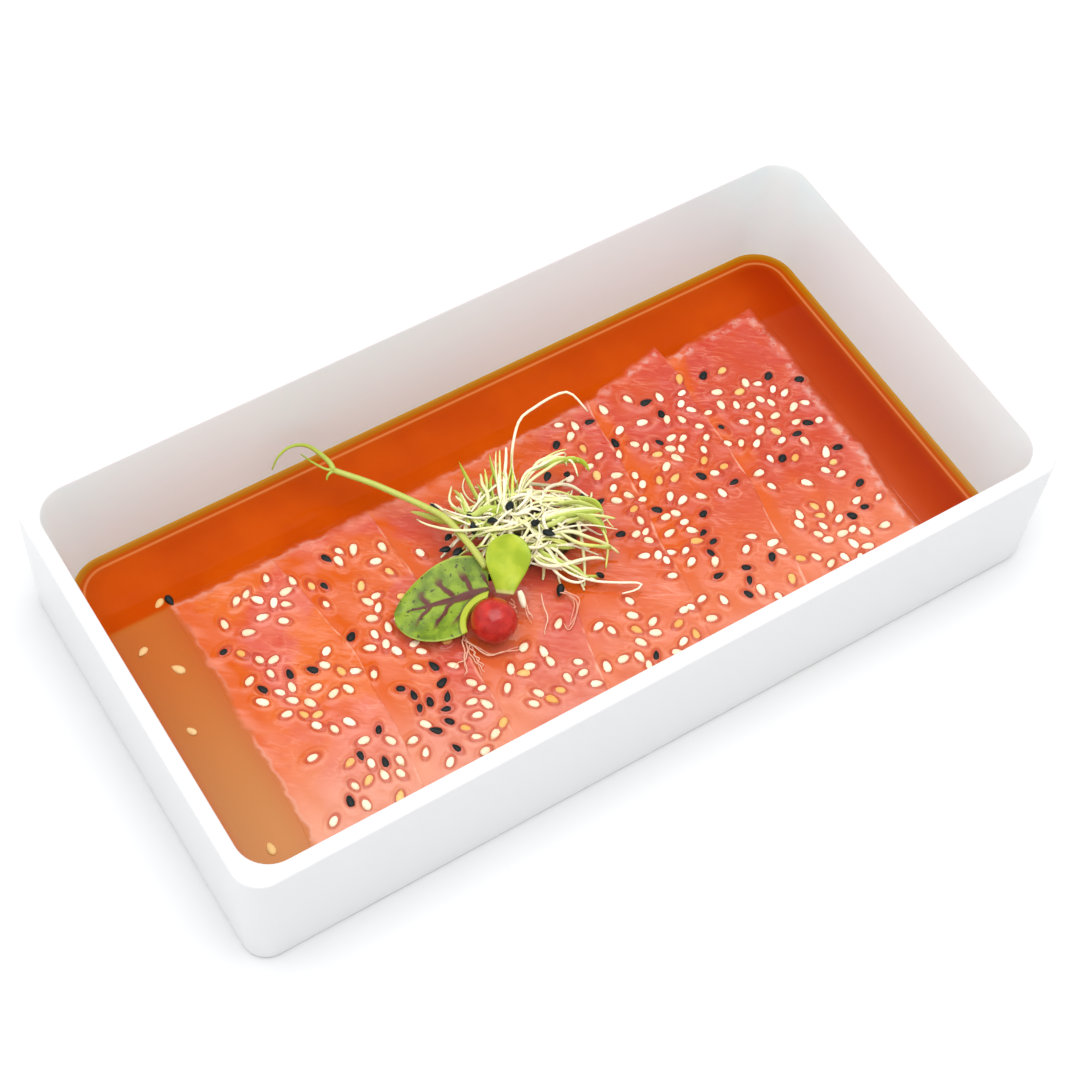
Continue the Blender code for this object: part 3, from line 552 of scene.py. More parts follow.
def deep_sauce_colour(at):
    """Colour of the sauce where it is deep: orange-brown, darker at the dish's right end as painted shade
    of the right wall, and more golden at its left end out of the back wall's shade, which is partly the
    sauce's own tone and partly a painted reflection of the overhead light.
    """
    x, y, _ = axes(at)
    deep = blend(noise(at, 0.05, 3.0).ease(0.35, 0.7), (0.4, 0.043, 0.001), (0.46, 0.058, 0.0012))
    golden = blend(y.ease(25.0, -30.0), (0.42, 0.095, 0.006), (0.42, 0.14, 0.02))
    return layered(
        deep,
        # Painted shade: darker towards the dish's right wall.
        (x.ease(72.0, 90.0), (0.31, 0.022, 0.0009)),
        # Partly painted reflection: more golden at the left end, out of the back wall's shade, where the
        # sauce mirrors the overhead light.
        (x.ease(-70.0, -82.0) * y.ease(*BACK_SHADE), golden),
    )


def wet_share_number(at):
    """How much the wet surface mirrors: little in the shade of the back and the right wall."""
    x, y, _ = axes(at)
    return y.ease(*BACK_SHADE, 0.15, 1.0) * x.ease(76.0, 84.0, 1.0, 0.3)


LINES = new_group("wandering_lines", ("Scale", "Width"), "Mask", "NodeSocketFloat", lines_mask)
PATCHES = new_group("soft_patches", ("Scale", "Low", "High"), "Mask", "NodeSocketFloat", patches_mask)
DEEP_SAUCE = new_group("deep_sauce", (), "Colour", "NodeSocketColor", deep_sauce_colour)
WET_SHARE = new_group("wet_share", (), "Share", "NodeSocketFloat", wet_share_number)


def group_output(group, at, **numbers):
    return add_node(at.tree, "ShaderNodeGroup", 0, {"Place": at, **numbers}, node_tree=group)


def wandering_lines(at, scale, width):
    return group_output(LINES, at, Scale=scale, Width=width)


def patches(at, scale, low, high):
    return group_output(PATCHES, at, Scale=scale, Low=low, High=high)


def dish_finish():
    """White glaze, a little uneven in tone and gloss, and tinted blue-green inside: painted light that
    cancels the red light bounced from the sauce onto the inner walls.
    """
    made, shader, at = new_finish("white_glaze", Roughness=0.3, Coat_Weight=0.25, Coat_Roughness=0.12)
    inside, = held(at, "inside")
    soft = noise(at, 0.02)
    outer_white = blend(soft, (0.725, 0.723, 0.725), (0.745, 0.743, 0.745))
    # Painted light: the inside is tinted blue-green to cancel the red light that the sauce bounces onto the
    # inner walls.
    inner_white_cancelling_bounce = blend(soft, (0.79, 0.92, 0.935), (0.81, 0.94, 0.955))
    feed(shader, {"Base Color": blend(inside, outer_white, inner_white_cancelling_bounce), "Roughness": soft * 0.08 + 0.26})
    return made


def sauce_finish():
    """Orange-brown sauce, golden where it runs out thin up the wall, with a pale line of painted reflection
    a little way in from the wall.
    """
    made, shader, at = new_finish("orange_sauce", Roughness=0.1, Specular_IOR_Level=0.0, Coat_IOR=1.36)
    wall, = held(at, "wall_distance")
    inner = blend(wall.ease(1.0, 5.0), (0.43, 0.062, 0.002), group_output(DEEP_SAUCE, at))
    # Painted reflection: a pale line 2.2 to 3.1 mm in from the wall, as light mirrored in the sauce.
    inner = blend(wall.between(2.2, 2.5, 2.75, 3.1) * 0.4, inner, (0.75, 0.3, 0.1))
    edge = blend(wall.ease(0.0, 0.9), (0.45, 0.21, 0.012), (0.38, 0.12, 0.002))
    colour = blend(wall.ease(1.1, 1.8), edge, inner)
    feed(shader, {"Base Color": colour, "Coat Weight": group_output(WET_SHARE, at)})
    return made


def flesh_colour(at, grain, tone):
    """Pink-red flesh: warm patches, paler threads and bands, fine light and dark grain, and painted light
    that makes it a brighter orange towards the front.
    """
    x, y, _ = axes(at)
    return layered(
        blend(patches(at, 0.09, 0.38, 0.62), (0.55, 0.08, 0.047), (0.62, 0.15, 0.095)),
        (patches(at, 0.05, 0.46, 0.56) * 0.85, (0.62, 0.125, 0.016)),
        (tone * 0.72, (0.46, 0.048, 0.03)),
        # Painted light: brighter orange towards the front, where the light falls stronger.
        (y.ease(-8.0, -30.0) * x.ease(-10.0, 20.0, 0.0, 0.5), (0.66, 0.125, 0.02)),
        (wandering_lines(grain, 0.45, 0.03) * patches(at, 0.12, 0.42, 0.62) * 0.25, (0.8, 0.36, 0.24)),
        (wandering_lines(grain, 0.13, 0.012) * patches(at, 0.06, 0.45, 0.6) * 0.35, (0.78, 0.3, 0.2)),
        (noise(grain, 1.2, 3.0).ease(0.5, 0.75) * 0.26, (0.74, 0.24, 0.15)),
        (noise(grain, 1.6).ease(0.58, 0.72) * 0.35, (0.42, 0.03, 0.012)),
    )


def tuna_finish():
    """Pink-red fish under a thin wet film: orange where the film is deep, pale along its ends, with pale
    seams of painted highlight, and lost in the sauce along an uneven line round the outside. It turns paler
    towards the front left as a painted reflection of the overhead light, and each seed has a dark ring of
    painted shade and a pale halo of painted glint."""
    made, shader, at = new_finish("tuna", Roughness=0.1, Specular_IOR_Level=0.0, Coat_IOR=1.36)
    depth, seam, rim, ring, tone = held(
        at, "sauce_depth", "side_distance", "rim_distance", "seed_distance", "slice_tone")
    grain = place(at.tree, (0.25, 1.0, 1.0), math.radians(38))
    x, y, _ = axes(at)
    uneven = noise(at, 0.22) - 0.5
    broad = noise(at, 0.075) - 0.5
    deep = depth + (broad + uneven * 0.4) * 4.5
    deep = deep + x.ease(-66.0, -75.0, 0.0, 1.5) * y.ease(-12.0, 12.0)
    shore = rim + uneven * 3.0 + (noise(grain, 0.9) - 0.5)
    seam = (seam + uneven * 2.0).ease(0.3, 0.9, 1.0, 0.0) * patches(at, 0.16, 0.42, 0.58)
    frayed = rim.ease(1.5, 6.0, 1.0, 0.0) * patches(grain, 0.35, 0.42, 0.6)
    pale = shore.between(1.2, 1.6, 1.7, 2.5) * patches(at, 0.06, 0.46, 0.56)
    back = y.ease(24.0, 29.0) * x.ease(30.0, 46.0, 0.6, 1.0) * patches(at, 0.11, 0.48, 0.6)
    right = calc("MAXIMUM", x.ease(66.0, 76.0), back)
    fat = rim.between(1.0, 1.8, 2.4, 4.2) * right * patches(at, 0.4, 0.45, 0.58)
    flesh = layered(
        flesh_colour(at, grain, tone),
        (deep.ease(0.2, 1.7, 0.0, 0.9), (0.57, 0.085, 0.006)),
        # Painted reflection: paler peach towards the front left, where the wet surface mirrors the overhead
        # light.
        (y.ease(-12.0, -36.0) * x.ease(0.0, -58.0, 0.3, 0.75), (0.64, 0.27, 0.17)),
        (frayed * 0.28, (0.78, 0.36, 0.27)),
        # Painted highlight: pale peach lines along the seams, where the raised edge of each slice catches
        # the light.
        (seam * 0.75, (0.82, 0.38, 0.26)),
        (pale * 0.45, (0.8, 0.45, 0.36)),
        (fat * 0.6, (0.6, 0.36, 0.31)),
    )
    painted_halo_glint = ring.between(0.6, 0.95, 1.0, 1.5) * patches(at, 0.3, 0.45, 0.6)
    colour = layered(
        group_output(DEEP_SAUCE, at),
        (shore.ease(0.6, 2.8), flesh),
        # Painted shade: a dark red ring round each seed, where the seed shades the film and the film's rise
        # bends the light.
        (ring.ease(0.0, 0.5, 0.55, 0.0) * rim.ease(1.0, 3.0), (0.38, 0.025, 0.008)),
        # Painted glint: a pale patchy halo at the far edge of each seed's rise, as light mirrored there.
        (painted_halo_glint * 0.14, (0.8, 0.4, 0.26)),
    )
    bumps = noise(grain, 0.9) * depth.ease(0.0, 0.15, 1.0, 0.1) * rim.ease(2.0, 5.0)
    bumps = relief(bumps, 0.55, 0.18)
    feed(shader, {"Base Color": colour, "Coat Weight": group_output(WET_SHARE, at),
                  "Normal": bumps, "Coat Normal": bumps})
    return made


def seed_finish(name, low, high, tip, roughness):
    """Seed coat: tone differs from seed to seed and darkens at the point, and painted shade darkens it low
    down.
    """
    made, shader, at = new_finish(name, Roughness=roughness, IOR=1.45, Specular_IOR_Level=0.25)
    tone, along, lift = held(at, "tone", "along", "lift")
    coat = layered(
        blend(tone, low, high),
        # Painted shade: darker on the lower side of each seed, away from the light.
        (lift.ease(0.75, -0.15, 0.0, 0.8), tip),
        (along.ease(0.68, 1.0, 0.0, 0.85), tip),
        (patches(at, 1.6, 0.5, 0.75) * 0.35, tip),
    )
    feed(shader, {"Base Color": coat, "Normal": relief(noise(at, 3.0), 0.25, 0.08)})
    return made


def berry_finish():
    """Red skin in darker and lighter patches, with a few pale flecks."""
    made, shader, at = new_finish("red_berry", Roughness=0.3, IOR=1.4, Coat_Weight=0.2, Coat_Roughness=0.15)
    skin = blend(patches(at, 0.35, 0.35, 0.7), (0.36, 0.006, 0.004), (0.52, 0.02, 0.012))
    skin = blend(patches(at, 2.5, 0.6, 0.72) * 0.3, skin, (0.7, 0.12, 0.08))
    feed(shader, {"Base Color": skin, "Normal": relief(noise(at, 0.9, 3.0), 0.25, 0.3)})
    return made


def sorrel_finish():
    """Green leaf with a maroon midrib, slanting side veins, dark specks, a pale thin edge and a
    fold where it meets the berry: a pale yellow-green band ending in a dark line of painted shade."""
    made, shader, at = new_finish("red_veined_leaf", Roughness=0.36, IOR=1.4, Specular_IOR_Level=0.35)
    along, side, under, berry = held(at, "along", "side", "under", "berry_distance")
    away = abs(side)
    wander = (noise(at, 0.35) - 0.5) * 0.5
    rib_width = along.ease(0.0, 0.9, 0.13, 0.03)
    rib = (abs(side + wander * 0.12) / rib_width).ease(0.7, 1.3, 1.0, 0.0)
    rib = rib * along.ease(0.82, 0.9, 1.0, 0.0)
    lean = along - calc("POWER", away, 0.8) * 0.3
    beat = calc("FRACT", lean * 4.2 + wander)
    vein = abs(beat - 0.5).ease(0.08, 0.2, 1.0, 0.0)
    vein = vein * away.ease(0.45, 0.75, 1.0, 0.0) * along.ease(0.7, 0.8, 1.0, 0.0)
    red = calc("MAXIMUM", rib, vein)
    colour = layered(
        blend(patches(at, 0.3, 0.35, 0.65), (0.1, 0.165, 0.008), (0.22, 0.32, 0.018)),
        (red * 0.95, (0.1, 0.008, 0.016)),
        (patches(at, 0.8, 0.64, 0.67) * 0.85, (0.05, 0.03, 0.01)),
        (away.ease(0.93, 1.0, 0.0, 0.8), (0.4, 0.5, 0.08)),
        (berry.ease(FOLD_WIDTH, FOLD_WIDTH - 0.3), (0.4, 0.46, 0.03)),
        # Painted shade: a dark line where the fold band ends, as shade in the fold's crease.
        (abs(berry - FOLD_WIDTH).ease(0.0, 0.4, 0.6, 0.0), (0.06, 0.07, 0.01)),
        (under, (0.42, 0.52, 0.06)),
    )
    height = noise(at, 0.8, 3.0) - red * 0.5
    feed(shader, {"Base Color": colour, "Normal": relief(height, 0.5, 0.3)})
    return made


def lime_finish():
    """Lime green leaf, deeper at its sides and pale brown at its foot."""
    made, shader, at = new_finish("lime_leaf", Roughness=0.36, IOR=1.4)
    along, side = held(at, "along", "side")
    green = layered(
        blend(patches(at, 0.25, 0.35, 0.65), (0.3, 0.41, 0.012), (0.42, 0.5, 0.025)),
        (abs(side).ease(0.7, 1.0, 0.0, 0.5), (0.27, 0.37, 0.01)),
        (along.ease(0.1, 0.0, 0.0, 0.75), (0.62, 0.5, 0.25)),
    )
    feed(shader, {"Base Color": green, "Normal": relief(noise(at, 0.7, 3.0), 0.3, 0.25)})
    return made


def stem_finish(name, pale, green, gloss):
    """Stem or strand: pale or green from strand to strand, greener towards its tip."""
    made, shader, at = new_finish(name, Roughness=gloss, IOR=1.4)
    tone, along = held(at, "tone", "along")
    colour = blend(tone * along.ease(0.0, 1.0, 0.55, 1.1), pale, green)
    colour = blend(patches(at, 0.9, 0.5, 0.7) * 0.3, colour, green)
    feed(shader, {"Base Color": colour, "Normal": relief(noise(at, 2.0), 0.2, 0.1)})
    return made


def core_finish():
    """Shaded green-brown, as between the stems of a nest."""
    made, shader, at = new_finish("nest_shade", Roughness=0.7)
    colour = blend(patches(at, 0.8, 0.45, 0.6), (0.035, 0.025, 0.006), (0.2, 0.17, 0.035))
    feed(shader, {"Base Color": colour, "Normal": relief(noise(at, 1.2), 0.6, 0.5)})
    return made


def floor_finish():
    made, shader, at = new_finish("pale_floor", Roughness=0.7)
    feed(shader, {"Base Color": blend(noise(at, 0.004), (0.745, 0.745, 0.75), (0.76, 0.76, 0.76))})
    return made


# Dish

def quarter_arc(steps):
    """Sine and one minus cosine over a quarter turn."""
    turn = np.linspace(0, np.pi / 2, steps + 1)
    return np.sin(turn), 1 - np.cos(turn)


def inner_corner(inset):
    """Corner radius of the dish's inner outline, which grows down the wall to its foot."""
    share = np.minimum((inset - RIM_WALL) / (FILLET_INSET - RIM_WALL), 1.0)
    return INNER_CORNER_RIM + share * (INNER_CORNER_FLOOR - INNER_CORNER_RIM)


def wall_inset(z):
    """Inset of the dish's inner wall at a height above the fillet."""
    start = FLOOR_TOP + FILLET_RADIUS
    return RIM_WALL + (DISH_HEIGHT - z) / (DISH_HEIGHT - start) * (FILLET_INSET - RIM_WALL)


def dish_profile():
    """Inset and height of the outer and of the inner part, from the base round the rim to the floor."""
    rise, ease = quarter_arc(6)
    outer = [(BASE_INSET + BASE_ROUND + 2.0, 0.0)]
    outer += [(BASE_INSET + BASE_ROUND * (1 - s), BASE_ROUND * e) for s, e in zip(rise, ease)]
    outer += [(0.5, 6.0), (0.03, DISH_HEIGHT - RIM_ROUND - 1.0)]
    outer += [(RIM_ROUND * e, DISH_HEIGHT - RIM_ROUND * (1 - s)) for s, e in zip(rise, ease)]
    inner = [(RIM_WALL - RIM_ROUND * (1 - s), DISH_HEIGHT - RIM_ROUND * e) for s, e in zip(rise, ease)]
    inner += [(wall_inset(z), z) for z in (DISH_HEIGHT - 2.0, 20.0, 8.0)]
    inner += [(FILLET_INSET + FILLET_RADIUS * e, FLOOR_TOP + FILLET_RADIUS * (1 - s))
              for s, e in zip(rise, ease)]
    inner.append((FILLET_INSET + FILLET_RADIUS + 2.0, FLOOR_TOP))
    return np.array(outer), np.array(inner)


def make_dish():
    """A profile of inset and height carried round a rounded rectangle, closed by two flat caps."""
    outer, inner = dish_profile()
    corner_steps, side_steps = 12, 10
    inner_radius = inner_corner(inner[:, 0]) - np.maximum(inner[:, 0] - FILLET_INSET, 0)
    outer_radius = np.maximum(OUTER_CORNER - outer[:, 0], 1.5)
    rings = []
    for (inset, z), radius in ((outer.T, outer_radius), (inner.T, inner_radius)):
        flat = outline(DISH_LENGTH / 2 - inset, DISH_WIDTH / 2 - inset, radius, corner_steps, side_steps)
        height = np.broadcast_to(z[:, None, None], flat.shape[:2] + (1,))
        rings.append(np.concatenate((flat, height), axis=2))
    points = np.concatenate(rings)
    levels, count, _ = points.shape
    inside = np.repeat(np.arange(levels) >= len(outer) + 6, count)
    add_piece("dish_body", points, ring_faces(1, levels, count), dish_finish(), ["dish"],
              {"inside": inside})


# Slices and the film of sauce over them

def edge_place(k, y):
    """Place of edge k along the dish: a line from front to back, with a bow and a wave."""
    share = (y - SLICE_FRONT) / (SLICE_BACK - SLICE_FRONT)
    line = EDGE_FRONT[k] + share * (EDGE_BACK[k] - EDGE_FRONT[k])
    bow = EDGE_BOW[k] * 4 * share * (1 - share)
    wave = EDGE_WAVE * (np.sin(y / 5.1 + 1.7 * k) + 0.6 * np.sin(y / 2.9 + 2.3 * k)) / 1.6
    return line + bow + wave


def end_place(k, x, back):
    """Place of a slice's cut end across the dish."""
    edges = EDGE_BACK if back else EDGE_FRONT
    share = (x - edges[k]) / (edges[k + 1] - edges[k])
    wave = END_WAVE * np.sin(9.0 * share + 2.1 * k) * np.cos(4.0 * share + k)
    if back:
        return BACK_LEFT[k] + np.clip(share, 0.0, 1.0) * (BACK_RIGHT[k] - BACK_LEFT[k]) + wave
    return SLICE_FRONT + 0.8 * wave


def stations(k, y):
    """Places across a slice: left edge, start of the rise, end of the pool, full lift, right edge."""
    under = SLICE_OVERLAP if k else 0.0
    left = edge_place(k, y) - under
    start = edge_place(k, y) + (0.5 if k else 0.0)
    right = edge_place(k + 1, y)
    return left, start, start + POOL_WIDTH, right - SLICE_OVERLAP - 0.5, right


def fish_base(k, x, y):
    """Underside of a slice: it rises fast across the pool, then slowly to the full lift."""
    _, start, pool, full, _ = stations(k, y)
    first = POOL_SHARE * np.clip((x - start) / (pool - start), 0, 1)
    second = (1 - POOL_SHARE) * np.clip((x - pool) / (full - pool), 0, 1)
    wave = FACE_WAVE * np.sin(x / 6.5 + y / 9.0) * np.sin(y / 6.0 - x / 14.0)
    return SLICE_BASE + SLICE_LIFT * (first + second) + wave


def seed_distance(x, y, seeds):
    """Distance from the nearest seed's outline, as a share of how far it draws up the film."""
    nearest = np.full(x.shape, FAR)
    for seed_x, seed_y, turn, reach in seeds:
        along, across = turned(x - seed_x, y - seed_y, turn)
        away = np.hypot(along, across * SEED_LENGTH / SEED_WIDTH) - SEED_LENGTH / 2
        nearest = np.minimum(nearest, np.maximum(away, 0.0) / reach)
    return nearest


def film_mounds(x, y, nearest):
    """Height of the film drawn up round seeds and the berry. With d the seeds' distance it is
    a rise times (1 - d) squared, and a lip at d = 1."""
    rise = MENISCUS_RISE * np.clip(1 - nearest, 0, 1) ** 2
    rise += LIP_RISE * np.exp(-((nearest - 1) / LIP_WIDTH) ** 2)
    berry = np.hypot(x - BERRY_CENTRE[0], y - BERRY_CENTRE[1]) - BERRY_FOOT
    berry = np.clip(1 - np.maximum(berry, 0.0) / BERRY_FILM, 0, 1)
    return np.maximum(rise, BERRY_RISE * berry ** 2)


def film_over(fish):
    """Top of the film: the higher of the sauce level and the fish, eased into each other."""
    return 0.5 * (FILM_LEVEL + fish + np.sqrt((FILM_LEVEL - fish) ** 2 + FILM_BLEND ** 2))


def swell_height(k, x, y):
    """Gentle unevenness of the wet surface: three sine waves of different lengths."""
    broad = np.sin(x / 3.1 + 1.3 * k) * np.sin(y / 4.3 + 0.7 * k + 0.05 * x)
    fine = np.sin((x + 0.6 * y) / 1.9 + k + 0.8 * np.sin(y / 5.0))
    return SWELL * (broad + 0.45 * fine)


def make_slice(k, finish, seeds, tone):
    """A closed wavy sheet: columns run from the left to the right edge and rows from the front to
    the back end. Its top is the film where it shows, and dips where it lies under its left neighbour."""
    columns, rows = SLICE_CELLS
    share = np.linspace(0, 1, rows)[:, None]
    across = np.linspace(0, 1, columns)[None, :]
    first_left, *_, first_right = stations(k, SLICE_FRONT)
    last_left, *_, last_right = stations(k, SLICE_BACK)
    front = end_place(k, first_left + across * (first_right - first_left), False)
    back = end_place(k, last_left + across * (last_right - last_left), True)
    y = front + share * (back - front)
    left, *_, right = stations(k, y)
    x = left + across * (right - left)
    base = fish_base(k, x, y)
    to_side = np.broadcast_to(right - x, x.shape)
    outer = np.minimum(y - front, back - y)
    if k == 0:
        outer = np.minimum(outer, x - left)
    if k == SLICE_COUNT - 1:
        outer = np.minimum(outer, to_side)
    rim = np.minimum(outer, to_side)
    rounded = np.sqrt(1 - (1 - np.clip(rim / THIN_EDGE, 0, 1)) ** 2)
    fish = base + SLICE_THICKNESS * (THIN_SHARE + (1 - THIN_SHARE) * rounded)
    film = film_over(fish)
    shore = smooth_step(0.0, SHORE_REACH, outer)
    film = SHORE_LEVEL + (film - SHORE_LEVEL) * shore
    inward = np.minimum(to_side, x - edge_place(k, y)) if k else to_side
    calm = smooth_step(SHORE_REACH, 2 * SHORE_REACH, outer)
    calm = calm * smooth_step(0.0, SHORE_REACH, inward) * smooth_step(POOL_BACK, POOL_BACK - POOL_WIDTH, y)
    film = film + swell_height(k, x, y) * calm
    if k < SLICE_COUNT - 1:
        film = film + RIDGE_RISE * np.exp(-((to_side - RIDGE_INSET) / RIDGE_WIDTH) ** 2) * shore
    depth = np.maximum(film - fish, 0)
    nearest = seed_distance(x, y, seeds)
    film = film + film_mounds(x, y, nearest)
    low = np.minimum(fish, SAUCE_LEVEL) - HIDDEN_DIP
    shown = smooth_step(0.0, FILM_EDGE, rim)
    if k:
        shown = shown * smooth_step(*TUCKED, x - edge_place(k, y))
    top = low + shown * (film - low)
    points = np.concatenate((np.stack((x, y, top), axis=-1).reshape(-1, 3),
                             np.stack((x, y, base), axis=-1).reshape(-1, 3)))
    seam = to_side if k < SLICE_COUNT - 1 else np.full(x.shape, FAR)
    values = {
        "sauce_depth": np.tile(depth.ravel(), 2),
        "side_distance": np.tile(seam.ravel(), 2),
        "rim_distance": np.tile(outer.ravel(), 2),
        "seed_distance": np.tile(nearest.ravel(), 2),
        "slice_tone": np.full(len(points), tone),
    }
    add_piece(f"tuna_slice_{k + 1}", points, sheet_faces(rows, columns), finish,
              [f"slice_{k + 1}"], values)


def make_slices(seeds):
    """All slices, each with the seeds that lie on it or on a neighbour."""
    finish = tuna_finish()
    for k in range(SLICE_COUNT):
        near = []
        for x, y, turn, number, reach in seeds:
            if number is not None and abs(number - k) <= 1:
                near.append((x, y, turn, reach))
        make_slice(k, finish, near, SLICE_TONES[k])


# Sauce

def make_sauce():
    """A ring-shaped pool: its section runs from the wall along the level to under the fish, and
    back below, and each point is carried round between the dish's outline and the fish's."""
    corner_steps, side_steps = 10, 60
    near = np.array((0.0, 0.12, 0.25, 0.4, 0.6, 0.85, 1.1, 1.4, 1.8, 2.2, 2.6, 3.0, 3.6, 4.5))
    inset = wall_inset(SAUCE_LEVEL) - WALL_BITE
    outer = outline(DISH_LENGTH / 2 - inset - near, DISH_WIDTH / 2 - inset - near,
                    np.maximum(inner_corner(inset) - near, 3.0), corner_steps, side_steps)
    middle_x = (EDGE_BACK[0] + EDGE_BACK[-1]) / 2
    middle_y = (SLICE_FRONT + SLICE_BACK) / 2
    half_x = (EDGE_BACK[-1] - EDGE_BACK[0]) / 2 - UNDER_FISH_X
    half_y = (SLICE_BACK - SLICE_FRONT) / 2 - UNDER_FISH_Y
    inner = outline(half_x, half_y, UNDER_FISH_CORNER, corner_steps, side_steps)
    inner = inner + np.array((middle_x, middle_y))
    share = np.linspace(0, 1, 10)[1:, None, None]
    onward = outer[-1] + share * (inner - outer[-1])
    flat = np.concatenate((outer, onward))
    run = np.linalg.norm(onward - outer[-1], axis=2) + near[-1]
    wall = np.concatenate((np.broadcast_to(near[:, None], outer.shape[:2]), run))
    height = SAUCE_LEVEL + WALL_CLIMB * np.exp(-wall / WALL_CLIMB_REACH)
    top = np.concatenate((flat, height[:, :, None]), axis=2)
    count = top.shape[1]
    under_inner = np.concatenate((inner[0], np.full((count, 1), SAUCE_UNDERSIDE)), axis=1)
    under_outer = outline(DISH_LENGTH / 2 - UNDERSIDE_INSET, DISH_WIDTH / 2 - UNDERSIDE_INSET,
                          UNDERSIDE_CORNER, corner_steps, side_steps)[0]
    under_outer = np.concatenate((under_outer, np.full((count, 1), SAUCE_UNDERSIDE)), axis=1)
    points = np.concatenate((top, under_inner[None], under_outer[None]))
    wall = np.concatenate((wall, np.full((2, count), 20.0)))
    quads = grid_quads(len(points), count, wrap_rows=True, wrap_columns=True)
    add_piece("sauce_pool", points, [quads], sauce_finish(), ["sauce"],
              {"wall_distance": wall})


# Sesame

def slice_at(x, y):
    """Number of the slice that shows at a place, or none outside the fish."""
    for k in range(SLICE_COUNT):
        if edge_place(k, y) <= x < edge_place(k + 1, y):
            return k
    return None


def core_share(x, y, margin=0.0):
    """Distance from the nest's middle as a share of its oval outline."""
    along, across = turned(x - CORE_CENTRE[0], y - CORE_CENTRE[1], CORE_TURN)
    return np.hypot(along / (CORE_HALF[0] + margin), across / (CORE_HALF[1] + margin))


def beside_garnish(x, y):
    """True where a seed keeps clear of the berry and the nest."""
    if math.hypot(x - BERRY_CENTRE[0], y - BERRY_CENTRE[1]) < SEED_BERRY_GAP:
        return False
    return core_share(x, y, NEST_GAP) > 1.0


def spaced(x, y, placed, spacing=SEED_SPACING):
    return all(math.hypot(x - seed[0], y - seed[1]) > spacing for seed in placed)


def seed_fits(x, y, placed):
    """True where the solids' rules allow a seed: on a slice's shown top and clear of the rest."""
    k = slice_at(x, y)
    if k is None or not beside_garnish(x, y):
        return False
    _, _, pool, _, right = stations(k, y)
    if x < pool + 0.5 or x > right - SEED_LENGTH / 2 - 0.7:
        return False
    if y > min(BACK_LEFT[k], BACK_RIGHT[k]) - SEED_BACK_GAP or y < SLICE_FRONT + SEED_FRONT_GAP:
        return False
    return spaced(x, y, placed)


def scatter_seeds():
    """Seeds as x, y, turn, slice and kind, drawn cluster by cluster in the solids' order."""
    draw = random.Random(SEEDED)
    placed = []
    for middle_x, middle_y, spread_x, spread_y, white, black in SEED_CLUSTERS.values():
        for i in range(white + black):
            for _ in range(SEED_TRIES):
                x = draw.gauss(middle_x, spread_x)
                y = draw.gauss(middle_y, spread_y)
                if seed_fits(x, y, placed):
                    kind = "white" if i < white else "black"
                    placed.append((x, y, draw.uniform(0, math.pi), slice_at(x, y), kind))
                    break
    return placed


def float_seeds(placed):
    """More seeds, mostly white, that may also lie over the pools and close to the slices' edges."""
    draw = random.Random(SEEDED + 3)
    clusters = list(SEED_CLUSTERS.values())
    clusters += clusters[:3] * 2
    found = []
    while len(found) < POOL_SEED_COUNT:
        middle_x, middle_y, spread_x, spread_y, *_ = draw.choice(clusters)
        x = draw.gauss(middle_x, spread_x)
        y = draw.gauss(middle_y, spread_y)
        k = slice_at(x, y)
        if k is None or not beside_garnish(x, y) or not spaced(x, y, placed + found, FLOAT_SPACING):
            continue
        if y > FLOAT_BACK or y < FLOAT_FRONT:
            continue
        kind = "black" if len(found) % 9 == 0 else "white"
        found.append((x, y, draw.uniform(0, math.pi), k, kind))
    return found


def seed_meshes(places, headings, sizes, pitches, draw):
    """Teardrops: rings round a length that runs from -1 to 1, with a half width of about
    sin t (1 - 0.28 run), drawn in to a point at the far end."""
    rings, sides = 7, 8
    t = np.linspace(0.18, np.pi - 0.1, rings)
    run = -np.cos(t)
    girth = 0.95 * np.sin(t) * (1 - 0.28 * run) * (1 - 0.5 * np.clip(run, 0, 1) ** 3)
    turn = 2 * np.pi * np.arange(sides) / sides
    local = np.stack(np.broadcast_arrays(
        run[:, None] * SEED_LENGTH / 2,
        girth[:, None] * np.cos(turn) * SEED_WIDTH / 2,
        girth[:, None] * np.sin(turn) * SEED_DEPTH / 2), axis=-1).reshape(-1, 3)
    count = len(places)
    heading, pitch, sizes = (np.array(numbers) for numbers in (headings, pitches, sizes))
    zero, one = np.zeros(count), np.ones(count)
    about_z = np.array([[np.cos(heading), -np.sin(heading), zero], [np.sin(heading), np.cos(heading), zero],
                        [zero, zero, one]]).transpose(2, 0, 1)
    about_y = np.array([[np.cos(pitch), zero, np.sin(pitch)], [zero, one, zero],
                        [-np.sin(pitch), zero, np.cos(pitch)]]).transpose(2, 0, 1)
    points = np.einsum("nij,njk,pk->npi", about_z, about_y, local) * sizes[:, None, None]
    points = points + np.array(places)[:, None]
    values = {
        "tone": np.repeat([draw.random() for _ in places], rings * sides),
        "along": np.tile(np.repeat((run + 1) / 2, sides), count),
        "lift": np.tile(np.sin(turn), rings * count),
    }
    return points, ring_faces(count, rings, sides), values


def black_seed_finish():
    return seed_finish("black_sesame", (0.003, 0.006, 0.006), (0.008, 0.013, 0.013),
                       (0.015, 0.02, 0.02), 0.5)


